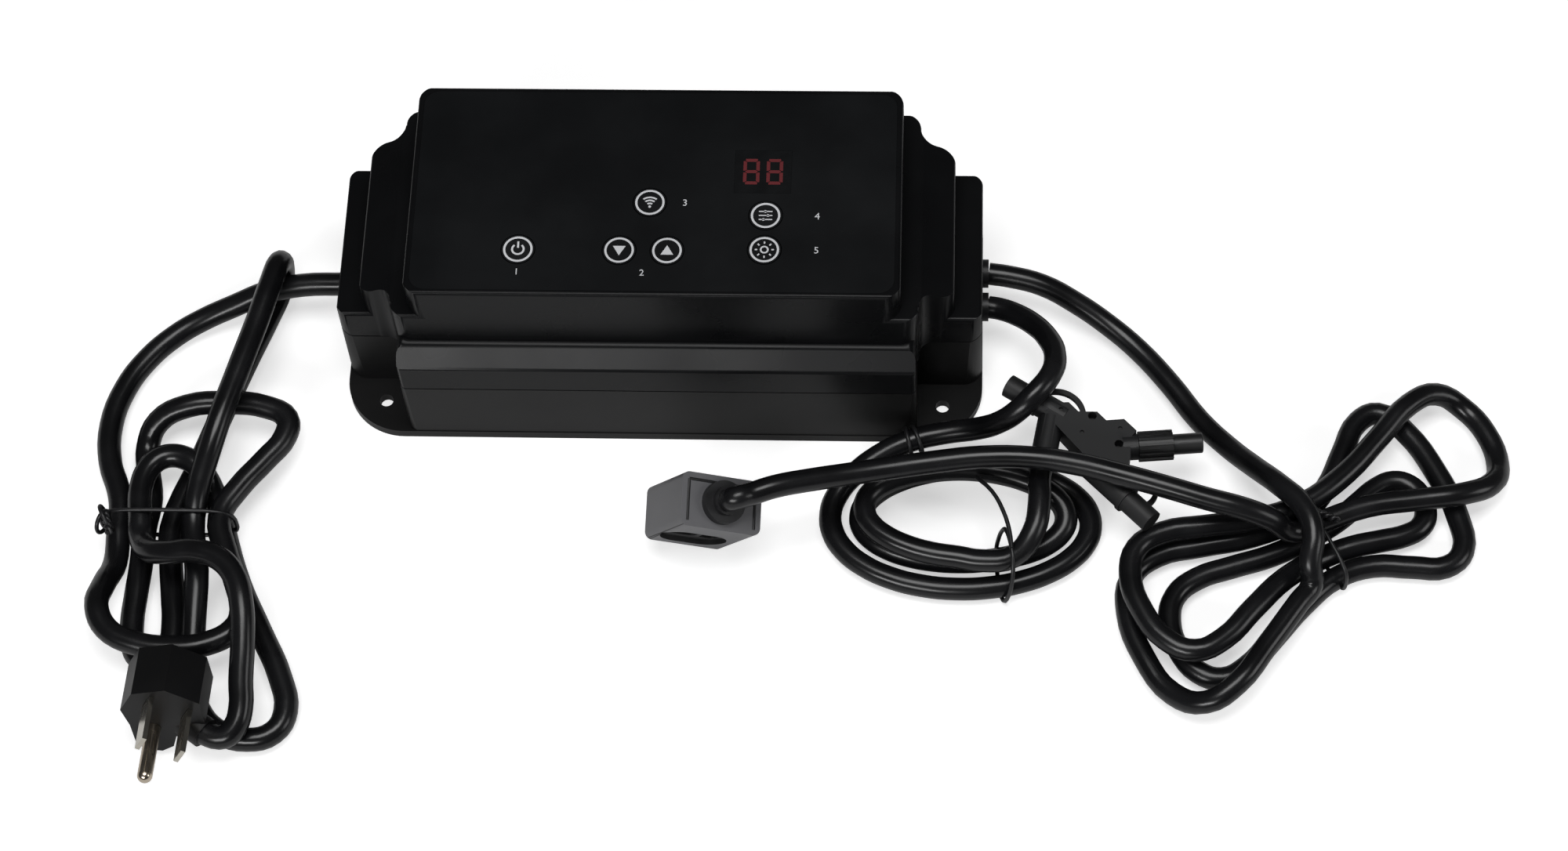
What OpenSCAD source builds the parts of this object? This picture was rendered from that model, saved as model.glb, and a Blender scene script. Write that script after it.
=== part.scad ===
// A wall-mounted smart power supply in a stepped plastic case. Six push keys and a
// two-digit display sit on top, the electronics inside, and three wound cords outside.
// Units are millimetres, Z is up, and the origin is on the floor below the case.

/* [Case] */
// Width over the mounting flange
case_w = 209; // [190:1:230]
// Depth over the mounting flange
case_d = 96; // [90:0.5:110]
// Height from the mounting face to the panel
case_h = 76; // [70:0.5:90]
// Height of the line where base and cover part
part_z = 31; // [26:0.5:34]
// Wall of the base and the cover
wall_t = 3; // [2:0.1:3.4]
// Thickness of the cover under the panel
roof_t = 4; // [3:0.1:4.5]
// Slope of the walls that lets them leave the mould, in degrees
draft_a = 0.7; // [0.3:0.1:1.5]
// Radius of the outer edges
edge_r = 1.2; // [0.6:0.1:2]
// Depth of the shadow line at the parting line
reveal = 0.6; // [0.3:0.1:0.9]

/* [Flange] */
// Thickness of the mounting flange
flange_t = 3.6; // [2.5:0.1:5]
// Corner radius of the mounting flange
flange_r = 19.5; // [14:0.5:24]
// Diameter of the mounting holes
hole_d = 4.5; // [3.2:0.1:6]
// Distance of the mounting holes from the flange's ends
hole_in_x = 13; // [10:0.5:16]
// Distance of the mounting holes from the flange's front and back
hole_in_y = 11.5; // [9:0.5:14]

/* [Case steps] */
// Step from the strip beside the panel in to the lower block's side
block_step = 1.1; // [0.8:0.1:2]
// Corner radius of the lower block
block_r = 3.4; // [3:0.1:6]
// Height where the sloping band meets the ledge
ledge_z = 48.2; // [44:0.2:56]
// Height and depth of the sloping band
band_s = 5.8; // [3:0.1:8]
// Step from the lower block's front in to the wings
wing_step = 19.5; // [16:0.1:22]
// Top of the outer wings
wing_top = 44; // [38:0.5:47]
// Corner radius of the outer wings
wing_r = 6.5; // [4:0.5:10]
// Width of the outer wings' top
mid_step = 8.9; // [7:0.1:10]
// Top of the middle wings at their outer edge
mid_top = 57.5; // [50:0.5:60]
// Corner radius of the middle wings
mid_r = 5.5; // [3:0.5:8]
// Width of the middle wings' top
strip_step = 11.1; // [9:0.1:12]
// Top of the step beside the panel
strip_top = 62; // [60:0.5:68]
// Corner radius of the step beside the panel
strip_r = 6.5; // [4:0.5:10]
// Width of the step beside the panel
panel_step = 5.5; // [4:0.1:7]
// Step from the lower block's front in to the panel block
panel_back = 7.9; // [7.3:0.1:12]
// Corner radius of the panel block
panel_r = 6.5; // [4:0.5:9]

/* [Panel] */
// Rim of the panel beside the overlay
overlay_in_x = 2.9; // [2:0.1:5]
// Rim of the panel before and behind the overlay
overlay_in_y = 2.7; // [2:0.1:5]
// Thickness of the panel overlay
overlay_t = 0.8; // [0.5:0.1:1.2]
// Corner radius of the panel overlay
overlay_r = 5; // [3:0.5:7]
// Diameter of the key caps
key_d = 10.4; // [9:0.1:11]
// Thickness of the key caps
key_t = 1.65; // [1.3:0.05:1.8]
// Diameter of the key stems
key_stem_d = 3.6; // [3:0.1:4.2]
// Travel of the keys
key_travel = 0.5; // [0.3:0.1:0.6]
// Gap round the keys and the display window
panel_gap = 0.3; // [0.2:0.05:0.4]
// Width of the display window
window_w = 18; // [17:0.5:20]
// Depth of the display window
window_d = 16; // [15:0.5:18]

/* [Cords] */
// Diameter of the power cord
power_cord_d = 7.8; // [6.5:0.1:8]
// Diameter of the output and sensor cords
signal_cord_d = 7.4; // [6:0.1:7.4]
// Height of the cord exits
exit_z = 17; // [13:0.5:20]
// Distance between the two cord exits on one side
exit_pitch = 12.8; // [12.6:0.1:16]

/* [Screws] */
// Thread diameter of the housing screws
screw_d = 3.4; // [2.8:0.1:3.8]
// Head diameter of the housing screws
screw_head_d = 6.4; // [5.5:0.1:6.8]
// Distance of the housing screws from the lower block's sides
screw_in_x = 9.3; // [8.4:0.1:12]
// Distance of the housing screws from the lower block's front and back
screw_in_y = 7.3; // [6.6:0.1:8.4]

/* [Boards] */
// Distance of the main board from the lower block's sides
board_in_x = 11.3; // [10:0.1:14]
// Distance of the main board from the lower block's front and back
board_in_y = 13.8; // [13:0.1:17]
// Thickness of both boards
board_t = 1.6; // [1:0.1:2]
// Height of the main board's standoffs above the floor
standoff_h = 5; // [4:0.5:6]
// Distance of the control board from the panel block's sides
control_in_x = 18.9; // [16:0.1:22]
// Distance of the control board from the panel block's front and back
control_in_y = 9.9; // [8:0.1:12]
// Gap from the cover's top down to the control board
control_drop = 4.8; // [4.4:0.1:5.2]

/* [Transformer] */
// Width of the transformer core
core_w = 42; // [36:1:46]
// Depth of the transformer core
core_d = 16; // [12:1:20]
// Height of the transformer core
core_h = 36; // [32:1:42]
// Diameter of the centre leg
core_leg_d = 12.4; // [10:0.2:14]
// Thickness of the core's outer yokes
core_yoke = 5.6; // [4:0.2:7]

/* [Hidden] */
$fn = 48;
eps = 0.01;
over = 1;
fit = 0.1;
loose = 0.3;
arc_steps = 4;
tilt_share = tan(draft_a);

// case values
flange_edge = 0.1;
foot_edge = 0.2;
wing_w = case_w - 2 * flange_edge;
block_d = case_d - 2 * foot_edge;
wing_d = block_d - 2 * wing_step;
mid_w = wing_w - 2 * mid_step;
strip_w = mid_w - 2 * strip_step;
block_w = strip_w - 2 * block_step;
panel_w = strip_w - 2 * panel_step;
panel_d = block_d - 2 * panel_back;
overlay_w = panel_w - 2 * overlay_in_x;
overlay_d = panel_d - 2 * overlay_in_y;
hole_dx = case_w - 2 * hole_in_x;
hole_dy = case_d - 2 * hole_in_y;
screw_dx = block_w - 2 * screw_in_x;
screw_dy = block_d - 2 * screw_in_y;
main_board_w = block_w - 2 * board_in_x;
main_board_d = block_d - 2 * board_in_y;
control_board_w = panel_w - 2 * control_in_x;
control_board_d = panel_d - 2 * control_in_y;
round_to = 0.01;
draft_in = round(part_z * tilt_share / round_to) * round_to;
strip_in = round(strip_top * tilt_share / round_to) * round_to;
wing_in = round(wing_top * tilt_share / round_to) * round_to;
ledge_in = round(ledge_z * tilt_share / round_to) * round_to;
fillet_r = 5;
mid_d = wing_d - loose;
slope_a = 20;
strip_d = panel_d;
reveal_h = 0.5;
groove_in = 1;
groove_out = 2;
gasket_t = 1.1;
panel_rim_z = case_h - overlay_t;
roof_z = case_h - roof_t;

// key places on the panel
key_lift = 0.05;
key_sink = 0.8;
key_seat_z = case_h + key_lift - key_t - key_sink;
key_row_in = 17.6;
key_row_y = key_row_in - panel_d / 2;
power_in = 36.6;
power_x = power_in - panel_w / 2;
down_x = -10.45;
up_x = 4.6;
pair_x = -1.6;
pair_up = 17.8;
pair_y = key_row_y + pair_up;
right_in = 43.8;
right_x = panel_w / 2 - right_in;
set_up = 0.65;
set_y = key_row_y + set_up;
mode_up = 12.65;
mode_y = set_y + mode_up;
display_left = 1.3;
display_x = right_x - display_left;
display_up = 16.4;
display_y = mode_y + display_up;
key_places = [[power_x, key_row_y], [down_x, key_row_y], [up_x, key_row_y],
    [pair_x, pair_y], [right_x, mode_y], [right_x, set_y]];

// screw values
screw_head_t = 2.4;
screw_seat_z = 8;
screw_len = 32;
tower_d = 10;
boss_top = ledge_z - wall_t;
small_screw_d = 2.5;
small_head_d = 5;
small_head_t = 1.8;
standoff_d = 6.4;
board_screw_in = 5.5;
board_screw_len = 5;
control_screw_in = 4;
control_screw_len = 4;

// board heights
floor_z = wall_t;
board_z = floor_z + standoff_h;
board_top = board_z + board_t;
control_top = roof_z - control_drop;
control_z = control_top - board_t;

// key switches and display
switch_w = 6;
switch_h = 3.5;
switch_top = control_top + switch_h;
switch_well = 1.2;
stem_in = 0.5;
stem_bottom = switch_top - stem_in;
display_w = 15;
display_d = 14;
display_h = panel_rim_z - overlay_t - control_top;

// control board chips
chip_w = 10;
chip_h = 1.2;
chip_x = -20;
chip_y = 12;
radio_w = 22;
radio_d = 15;
radio_h = 2.6;
radio_in = 14;
radio_x = radio_in - control_board_w / 2;
radio_back = 22;
radio_y = control_board_d / 2 - radio_back;
ribbon_w = 16;
ribbon_t = 1;
ribbon_in = 16;
ribbon_x = control_board_w / 2 - ribbon_in;
ribbon_y = -5;
header_h = 6;
header_t = 5;

// main board parts
block_len = 24;
block_t = 11;
block_h = 14;
block_in = 10;
block_x = main_board_w / 2 - block_in;
core_y = 6;
winding_gap = 0.4;
bobbin_t = 1.1;
bobbin_out = core_w / 2 - core_yoke - winding_gap;
bobbin_h = core_h - 2 * core_yoke - winding_gap;
bobbin_r = core_leg_d / 2 + winding_gap;
winding_r = bobbin_out - winding_gap;
choke_r = 11;
choke_bore_r = 6;
choke_h = 9;
choke_wire = 1.8;
choke_in = 22;
choke_x = choke_in - block_x;
choke_y = -8;
choke_lift = choke_wire + fit;
choke_span_a = 120;
cap_d = 22;
cap_h = 30;
cap_in = 24;
cap_x = cap_in - block_x;
cap_y = 18;
out_cap_d = 10;
out_cap_h = 20;
out_cap_in = 23;
out_cap_x = block_x - out_cap_in;
out_cap_y = 12;
out_cap_pitch = 12;
bridge_w = 22;
bridge_t = 4;
bridge_h = 15;
bridge_y = -26;
sink_w = 44;
sink_h = 30;
sink_t = 3;
fin_l = 8;
fin_t = 1.4;
fin_count = 7;
sink_in = 1.5;
sink_y = -18;
tab_w = 10;
tab_t = 4.4;
tab_h = 16;
tab_pitch = 14;
tab_lift = 6;
relay_w = 14;
relay_d = 15;
relay_h = 15;
relay_in = 15.5;
relay_x = main_board_w / 2 - relay_in;
sink_x = relay_x - relay_w / 2 - sink_in - sink_w / 2;
relay_y = -22;
fuse_d = 5;
fuse_l = 20;
fuse_share = -0.32;
fuse_x = fuse_share * main_board_w;
bridge_right = 2;
bridge_x = (fuse_x + fuse_l / 2 + sink_x - sink_w / 2) / 2 + bridge_right;
core_right = 4.5;
core_x = (choke_x + out_cap_x) / 2 + core_right;
fuse_y = -27;
fuse_lift = 4.5;
clip_w = 7;
clip_l = 4;
clip_h = 6;

// cord exits
relief_out = 2;
relief_d = 9.4;
relief_collar_d = 12.2;
relief_collar_t = 3;
relief_in = 12;
relief_neck_d = 8.4;
exit_x = wing_w / 2 - exit_z * tilt_share;
cord_x = exit_x + relief_out;
lead_d = 2;
lead_pitch = 3;
lead_end_x = block_x + block_t / 2;
relief_end_x = exit_x - wall_t - relief_collar_t - relief_in;
exits = [[-exit_x, 0], [exit_x, exit_pitch / 2], [exit_x, -exit_pitch / 2]];

// cord lay: heights of the stacked runs and the step between them
cord_lift = 1.1;
lay_gap = 0.8;
hank_pitch = power_cord_d + lay_gap;
hank_low = power_cord_d / 2 + cord_lift;
bow_pitch = signal_cord_d + lay_gap;
bow_low = signal_cord_d / 2 + cord_lift;
oval_low = signal_cord_d / 2 + cord_lift;
tube_sides = 8;
coil_sides = 6;
half_rings = 12;

// Half turns of a squeezed coil. Each row holds: start column, end column, start layer,
// end layer, reach, side swell, lean, rise on the first side, rise on the second side,
// where the rise starts and is full (shares of the reach), where and how widely the
// layers change (degrees), and the side of the waist.
hank_waist = [-153, -86];
hank_axis_a = 90;
hank_rows = [
    [-2.5, 1.5, 0, 1, 47.9, 11.8, 6.8, 11.5, 0, 0.25, 0.7, 131.5, 16, -1],
    [1.5, -1.5, 1, 0, 42.3, 15.3, 11.3, 0, 0, 0, 0.5, 123.4, 17.9, 1],
    [-1.5, -0.5, 0, 0, 48.1, 3.9, 2.9, 0, 0, 0, 0.5, 90, 90, -1],
    [-0.5, 0.5, 0, 1, 92, 0, 25, 0, 14.2, 0, 0.34, 90, 26, 1],
    [0.5, 1.5, 1, 0, 74, 11.9, 19.2, 0, 0, 0, 0.5, 31.6, 19.8, -1],
    [1.5, -1.5, 0, 1, 22.4, 0.5, -4.7, 0, 0, 0, 0.5, 36.2, 21.7, 1]];
hank_start_a = 0;
bow_waist = [212, -87];
bow_axis_a = 26;
bow_rows = [
    [1.5, -1.5, 1, 0, 68.2, 19.7, 11.3, 0, 0, 0, 0.5, 62, 17.4, -1],
    [-1.5, 1.5, 0, 0, 46.7, 22.3, -7.8, 0, 0, 0, 0.5, 90, 90, 1],
    [1.5, -0.5, 0, 0, 57.1, 12.2, 9.5, 0, 0, 0, 0.5, 90, 90, -1],
    [-0.5, 0.5, 0, 0, 37.9, 7.1, -1.6, 0, 0, 0, 0.5, 90, 90, 1],
    [0.5, -1.5, 0, 1, 63.5, 16.2, 3.9, 0, 0, 0, 0.5, 13, 14, -1],
    [-1.5, -0.5, 1, 1, 68.3, 16.5, -5, -8.2, -8.2, 0.77, 1, 90, 90, 1]];
bow_start_a = 15;

// oval coil: drops and spirals in on the floor, climbs, and spirals out on top
oval_mid = [100, -79.5];
oval_rx = 46;
oval_ry = 28.5;
oval_pitch = 9.7;
oval_start_a = 115;
oval_lead_a = 15;
oval_drop = 7;
oval_drop_a = 60;
oval_in_a = 540;
oval_climb_a = 180;
oval_out_a = 155;
oval_step_a = 15;

// routes of the free cords, from the case outwards
power_route = [[-cord_x, 0, exit_z], [-121, 0, 16], [-133, -1.4, 13.6],
    [-144, -4.5, 10], [-155, -8.5, 7], [-164, -14, 5.4], [-172, -22.5, 5],
    [-178.3, -34, 5], [-181.4, -48, 5], [-180, -62, 5], [-176.2, -72, 5]];
plug_route = [[-160.5, -100.6, 18.5], [-153, -103.5, 23], [-144, -104.5, 26.2],
    [-136, -107.5, 27], [-130.6, -113.5, 27], [-127.6, -122, 26.5],
    [-126.4, -134, 23], [-126.5, -146, 18.5], [-127.4, -155, 15],
    [-130, -161.5, 12.8]];
output_route = [[cord_x, -exit_pitch / 2, exit_z], [110, -7.2, 17.2], [115.5, -10.2, 18.6],
    [120.8, -14.9, 20.6], [125.2, -21.5, 23.4], [127.6, -30.5, 26.8], [125.8, -39.3, 29.4],
    [120.3, -46.6, 29.2], [115, -50.3, 25.6], [109.8, -50.6, 19.6], [105.8, -49.2, 15]];
lead_route = [[114.5, -97.6, 16], [120.5, -91, 19.8], [122.5, -81, 21.4],
    [122.6, -72, 20.8]];
sensor_route = [[cord_x, exit_pitch / 2, exit_z], [113, 5.6, 16.6], [124, 3.4, 15],
    [135, -0.8, 11], [146, -7, 7], [156, -15.5, 5], [166, -28, 4.8],
    [175, -41.5, 5.2], [184, -53, 8], [192, -64, 14.5], [199, -73.5, 20.5],
    [205.5, -82, 23], [208.5, -91, 22.6], [207.5, -100, 18.6]];
head_route = [[195.6, -85.5, 20.4], [187, -84.4, 25], [175, -82, 27],
    [162, -78.6, 28.4], [148, -75, 29.4], [134, -72, 30.6], [120, -70.4, 31.4],
    [104, -70.4, 31.4], [90, -72, 31], [76, -74.6, 31.4], [62, -78, 33],
    [50, -81.6, 35.6], [39, -85.4, 38], [31.5, -88.4, 38.4]];

// plug values
plug_face = [-149.3, -159.4, 21];
plug_lean_a = 11.5;
plug_roll_a = -30;
plug_w = 26;
plug_depth = 18;
plug_step_y = 8;
plug_step_z = 10;
pin_up = 4.5;
blade_pitch = 12.7;
blade_w = 6.4;
blade_t = 1.5;
blade_l = 15.9;
ground_drop = 11.9;
ground_d = 4.75;
ground_l = 20.6;
pin_root = 3;
boot_d = 11;
boot_l = 9;
boot_from = [-144.5, -156, 12.6];
boot_aim = [8, -5.6, -0.6];
plug_outline_share = [[-0.49, 0.1], [-0.31, 0.42], [0.1, 0.5], [0.48, 0.25],
    [0.5, -0.15], [0.4, -0.37], [0.11, -0.42], [0.05, -0.62], [-0.1, -0.72],
    [-0.3, -0.7], [-0.4, -0.55], [-0.42, -0.2]];

// splitter values
split_z = 16.6;
split_t = 7.6;
split_mid = [141, -59.5];
split_len = 26;
split_edge = 0.8;
split_outline_share = [[-0.66, 0.38], [-0.52, 0.51], [-0.35, 0.52], [-0.23, 0.39],
    [0, 0.39], [0.11, 0.27], [0.33, 0.29], [0.48, 0.13], [0.4, 0.02], [0.4, -0.25],
    [0.35, -0.38], [0.15, -0.5], [0, -0.42]];
screw_dots_share = [[-0.445, 0.417], [-0.19, 0.1], [0.28, 0.16]];
dot_d = 1.4;
post_holes_share = [[-0.06, 0.33], [0.26, -0.06]];
post_hole_d = 2.8;
dot_deep = 0.8;
post_deep = 4;
port_d = 8.4;
port_root = 5;
inlet_l = 13;
inlet_a = 80;
stub_d = 5.8;
stub_l = 8;
upper_port_share = [-0.54, 0.47];
upper_port_a = 147;
upper_port_l = 5;
lower_port_share = [0.03, -0.42];
lower_port_a = -46;
lower_port_l = 11;
cap_out_d = 7.6;
cap_out_l = 12;
cap_flange_d = 9.2;
cap_flange_t = 1.4;
cap_deep = 9;
strap_w = 1.6;
strap_t = 1.6;
upper_strap_share = [-0.508, 0.4];
upper_strap_r = 9;
upper_strap_a = 115;
lower_strap_share = [0.46, -0.62];
lower_strap_r = 6.6;
lower_strap_a = 106;
lower_strap_span_a = 196;
nut_port_share = [0.5, -0.02];
nut_d = 9.8;
nut_l = 11;
nut_aim_a = 5;
nut_rib_count = 16;
nut_rib_w = 0.9;
nut_rib_h = 0.4;
insert_d = 6.6;
insert_l = 9.6;
insert_bore = 4.4;
insert_deep = 7;
insert_root = 4;

// sensor head values
head_w = 27.8;
head_d = 17.5;
head_h = 26.8;
head_r = 2.5;
head_wall = 2;
head_mid = [15.8, -85.2, 20.8];
head_turn_a = 32.8;
head_turn_v = [0.467, 0.888, 0.075];
eye_w = 22;
eye_h = 14;
eye_x = -1.6;
eye_z = -3;
eye_deep = 1.6;
eye_wall = 4;
eye_window_h = 7;
eye_window_r = 1.4;
eye_window_w = [10.4, 5.6];
eye_window_x = [-3.6, 6];
cell_l = 2;
cell_sunk = 1;
collar_d = 13.8;
collar_t = 3;
neck_d = 9;
neck_l = 2;

// tie values
tie_t = 0.7;
tie_w = 2.2;
tie_gap = 0.15;
tie_knot_d = 3;
tie_knot_l = 9;
hank_tie_rise = 0.7;
oval_tie_x = 112;
oval_tie_out_share = 0.94;
oval_tie_in_share = 0.31;
oval_tie_rise = 1.4;

// Curve helpers
function unit(v) = v / norm(v);

function arc(x, y, r, a0, a1) =
    [for (i = [0:arc_steps]) let (a = a0 + (a1 - a0) * i / arc_steps)
        [x + r * cos(a), y + r * sin(a)]];

// A wall profile with its draft and rounded upper edges
function wall_form(half, top, r) =
    let (x = half - top * tilt_share)
    concat([[-half, 0], [half, 0]], arc(x - r, top - r, r, 0, 90),
        arc(r - x, top - r, r, 90, 180));

// The lower block's side with its ledge and sloping bands
function band_form(half, top, slope, r) =
    let (x = half - (top - slope) * tilt_share)
    [[-half, 0], [half, 0], [x, top - slope], [x - slope, top],
        [slope - x, top], [-x, top - slope]];

// The middle wings, which fall away outwards from the step
function slope_form(half, top, inner, inner_top, r) =
    let (x = half - top * tilt_share)
    concat([[-half, 0], [half, 0]], arc(x - r, top - r, r, 0, 90 - slope_a),
        [[inner, inner_top], [-inner, inner_top]],
        arc(r - x, top - r, r, 90 + slope_a, 180));

// Smooth steps and points of a squeezed coil
function ease(t) = let (u = min(1, max(0, t))) u * u * (3 - 2 * u);

function half_turn(row, waist, axis_a, pitch, low, from_a) =
    let (a = row[0] * pitch, b = row[1] * pitch,
        za = low + row[2] * pitch, zb = low + row[3] * pitch,
        side = a >= b ? 1 : -1,
        along = [cos(axis_a), sin(axis_a)],
        across = [sin(axis_a), -cos(axis_a)])
    [for (t = [from_a:180 / half_rings:180])
        let (s = sin(t), c = cos(t),
            u = (a + b) / 2 + (a - b) / 2 * c + row[6] * s
                + side * 1.3 * row[5] * s * sin(2 * t),
            rise = ease((s - row[9]) / (row[10] - row[9])),
            z0 = za + row[7] * rise,
            z1 = zb + row[8] * rise,
            turn = min(1, max(-1, (t - row[11]) / row[12])),
            p = waist + row[13] * row[4] * s * along + u * across)
        [p.x, p.y, (z0 + z1) / 2 + (z1 - z0) / 2 * sin(90 * turn)]];

function coil_points(rows, waist, axis_a, pitch, low, start_a) =
    [for (i = [0:len(rows) - 1])
        each half_turn(rows[i], waist, axis_a, pitch, low,
            i == 0 ? start_a : 180 / half_rings)];

// Points of the oval coil
function oval_points() =
    let (whole = oval_in_a + oval_climb_a + oval_out_a)
    [for (t = [-oval_lead_a:oval_step_a:whole])
        let (turn_in = min(t, oval_in_a) / 360,
            turn_out = max(0, t - oval_in_a - oval_climb_a) / 360,
            cut = oval_pitch * (turn_in - turn_out),
            a = oval_start_a + t,
            drop = 1 - ease((t + oval_lead_a) / oval_drop_a),
            climb = ease((t - oval_in_a) / oval_climb_a))
        [oval_mid.x + (oval_rx - cut) * cos(a), oval_mid.y + (oval_ry - cut) * sin(a),
            oval_low + drop * oval_drop + climb * oval_pitch]];

// A straight end, one cord diameter long, before and after a wound form
function with_ends(p, d) =
    let (n = len(p) - 1)
    concat([p[0] + d * unit(p[0] - p[1])], p, [p[n] + d * unit(p[n] - p[n - 1])]);

// Rings of a tube carried along its points without twist
function tube_dirs(p) =
    let (n = len(p) - 1)
    [for (i = [0:n]) i == 0 ? unit(p[1] - p[0])
        : i == n ? unit(p[n] - p[n - 1])
        : unit(unit(p[i + 1] - p[i]) + unit(p[i] - p[i - 1]))];

function tube_sides_at(t) =
    let (n = len(t), first = unit(cross(t[0], [0, 0, 1])))
    [for (i = 0, s = first; i < n;
        i = i + 1, s = i < n ? unit(s - (s * t[i]) * t[i]) : s) s];

module tube(p, d, sides) {
    t = tube_dirs(p);
    s = tube_sides_at(t);
    n = len(p);
    rings = [for (i = [0:n - 1], k = [0:sides - 1])
        let (a = 360 * k / sides, v = cross(t[i], s[i]))
        p[i] + d / 2 * (cos(a) * s[i] + sin(a) * v)];
    walls = [for (i = [0:n - 2], k = [0:sides - 1])
        let (a = i * sides + k, b = i * sides + (k + 1) % sides)
        each [[a, b, b + sides], [a, b + sides, a + sides]]];
    caps = [for (k = [1:sides - 2])
        each [[0, k + 1, k], [(n - 1) * sides, (n - 1) * sides + k,
            (n - 1) * sides + k + 1]]];
    polyhedron(points = rings, faces = concat(walls, caps), convexity = 12);
}

// Least distance of a wound form to itself, leaving out its near neighbours
function apart(p, d, skip) =
    min([for (i = [0:len(p) - 2 - skip], j = [i + skip:len(p) - 2])
        gap_of(p[i], p[i + 1], p[j], p[j + 1])]) - d;

function gap_of(a, b, c, e) =
    min([for (k = [0:3], m = [0:3])
        norm(a + (b - a) * k / 4 - c - (e - c) * m / 4)]);

hank_path = with_ends(coil_points(hank_rows, hank_waist, hank_axis_a, hank_pitch,
    hank_low, hank_start_a), power_cord_d);
bow_path = with_ends(coil_points(bow_rows, bow_waist, bow_axis_a, bow_pitch,
    bow_low, bow_start_a), signal_cord_d);
oval_path = with_ends(oval_points(), signal_cord_d);
echo(hank_gap = apart(hank_path, power_cord_d, 5));
echo(bow_gap = apart(bow_path, signal_cord_d, 5));
echo(oval_gap = apart(oval_path, signal_cord_d, 6));

function last(p) = p[len(p) - 1];
function before_end(p, d) = last(p) + d * unit(last(p) - p[len(p) - 2]);
function before_start(p, d) = p[0] + d * unit(p[0] - p[1]);

// Where the plug, the splitter and the sensor head take their cords
plug_dir = [0, -cos(plug_lean_a), sin(plug_lean_a)];
boot_end = boot_from + boot_l * unit(boot_aim);
inlet_end = [124, -63.4, split_z + split_t / 2];
inlet_way = [cos(inlet_a), sin(inlet_a), 0];
head_axis = [0.485, -0.24, 0.843];
head_out = head_mid + (head_h / 2 + collar_t + neck_l) * unit(head_axis);

// Whole routes of the stretches that join a form to a piece
power_line = concat(power_route, [before_start(hank_path, power_cord_d / 2),
    hank_path[0]]);
plug_line = concat([last(hank_path), before_end(hank_path, power_cord_d / 2)],
    plug_route, [boot_end + power_cord_d / 2 * unit(boot_aim), boot_end]);
output_line = concat(output_route, [before_start(oval_path, signal_cord_d / 2),
    oval_path[0]]);
lead_line = concat([last(oval_path), before_end(oval_path, signal_cord_d / 2)],
    lead_route, [inlet_end - signal_cord_d / 2 * inlet_way, inlet_end]);
sensor_line = concat(sensor_route, [before_start(bow_path, signal_cord_d / 2),
    bow_path[0]]);
head_line = concat([last(bow_path), before_end(bow_path, signal_cord_d / 2)],
    head_route, [head_out + signal_cord_d / 2 * unit(head_axis), head_out]);

// Plane shapes
module plan(w, d, r) {
    square([w - 2 * r, d], center = true);
    square([w, d - 2 * r], center = true);
    for (x = [-1, 1], y = [-1, 1])
        translate([x * (w / 2 - r), y * (d / 2 - r)]) circle(r);
}

module rim_plan(g) {
    plan(block_w - 2 * g, block_d - 2 * g, block_r - g);
    plan(wing_w - 2 * g, wing_d - 2 * g, wing_r - g);
}

// The concave corners between the step and the middle wings
module fillets(g) {
    for (x = [-1, 1], y = [-1, 1]) scale([x, y])
        translate([strip_w / 2 - g - strip_in, mid_d / 2 - g]) difference() {
            translate([-over, -over]) square(fillet_r + over);
            translate([fillet_r, fillet_r]) circle(fillet_r);
        }
}

module along_y(points, d) {
    rotate([90, 0, 0]) linear_extrude(d + 2 * over, center = true) polygon(points);
}

module along_x(points, w) {
    rotate([90, 0, 90]) linear_extrude(w + 2 * over, center = true) polygon(points);
}

// One level of the case, drafted on all sides. Its corners are round from the height
// where it shows, which is drawn in by low_in.
module level(w, d, r, top, low_in, g, drop, e) {
    intersection() {
        linear_extrude(top - drop)
            plan(w - 2 * (g + low_in), d - 2 * (g + low_in), r - g / 2);
        along_y(wall_form(w / 2 - g, top - drop, e), d);
        along_x(wall_form(d / 2 - g, top - drop, e), w);
    }
}

module block_level(g, drop, e) {
    intersection() {
        linear_extrude(ledge_z - drop)
            plan(block_w - 2 * g, block_d - 2 * g, block_r - g);
        along_y(wall_form(block_w / 2 - g, ledge_z - drop, e), block_d);
        along_x(band_form(block_d / 2 - g, ledge_z - drop, band_s, e), block_w);
    }
}

module mid_level(g, drop, e) {
    intersection() {
        linear_extrude(strip_top - drop) {
            plan(mid_w - 2 * (g + wing_in), mid_d - 2 * g, mid_r - g);
            fillets(g);
        }
        along_y(slope_form(mid_w / 2 - g, mid_top - drop, strip_w / 2 - g,
            strip_top - drop, e), block_d);
    }
}

module case_form(g, drop, e) {
    block_level(g, g, e * 2);
    level(wing_w, wing_d, wing_r, wing_top, 0, g, g, e);
    mid_level(g, g, e);
    level(strip_w, strip_d, strip_r, strip_top, ledge_in, g, g, e);
    level(panel_w, panel_d, panel_r, case_h, strip_in, g, drop, e);
}

// A slab that keeps the heights from z0 to z1
module band(z0, z1) {
    translate([0, 0, (z0 + z1) / 2])
        cube([case_w + 2 * over, case_d + 2 * over, z1 - z0], center = true);
}

module at_corners(dx, dy) {
    for (x = [-1, 1], y = [-1, 1]) translate([x * dx / 2, y * dy / 2]) children();
}

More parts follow.
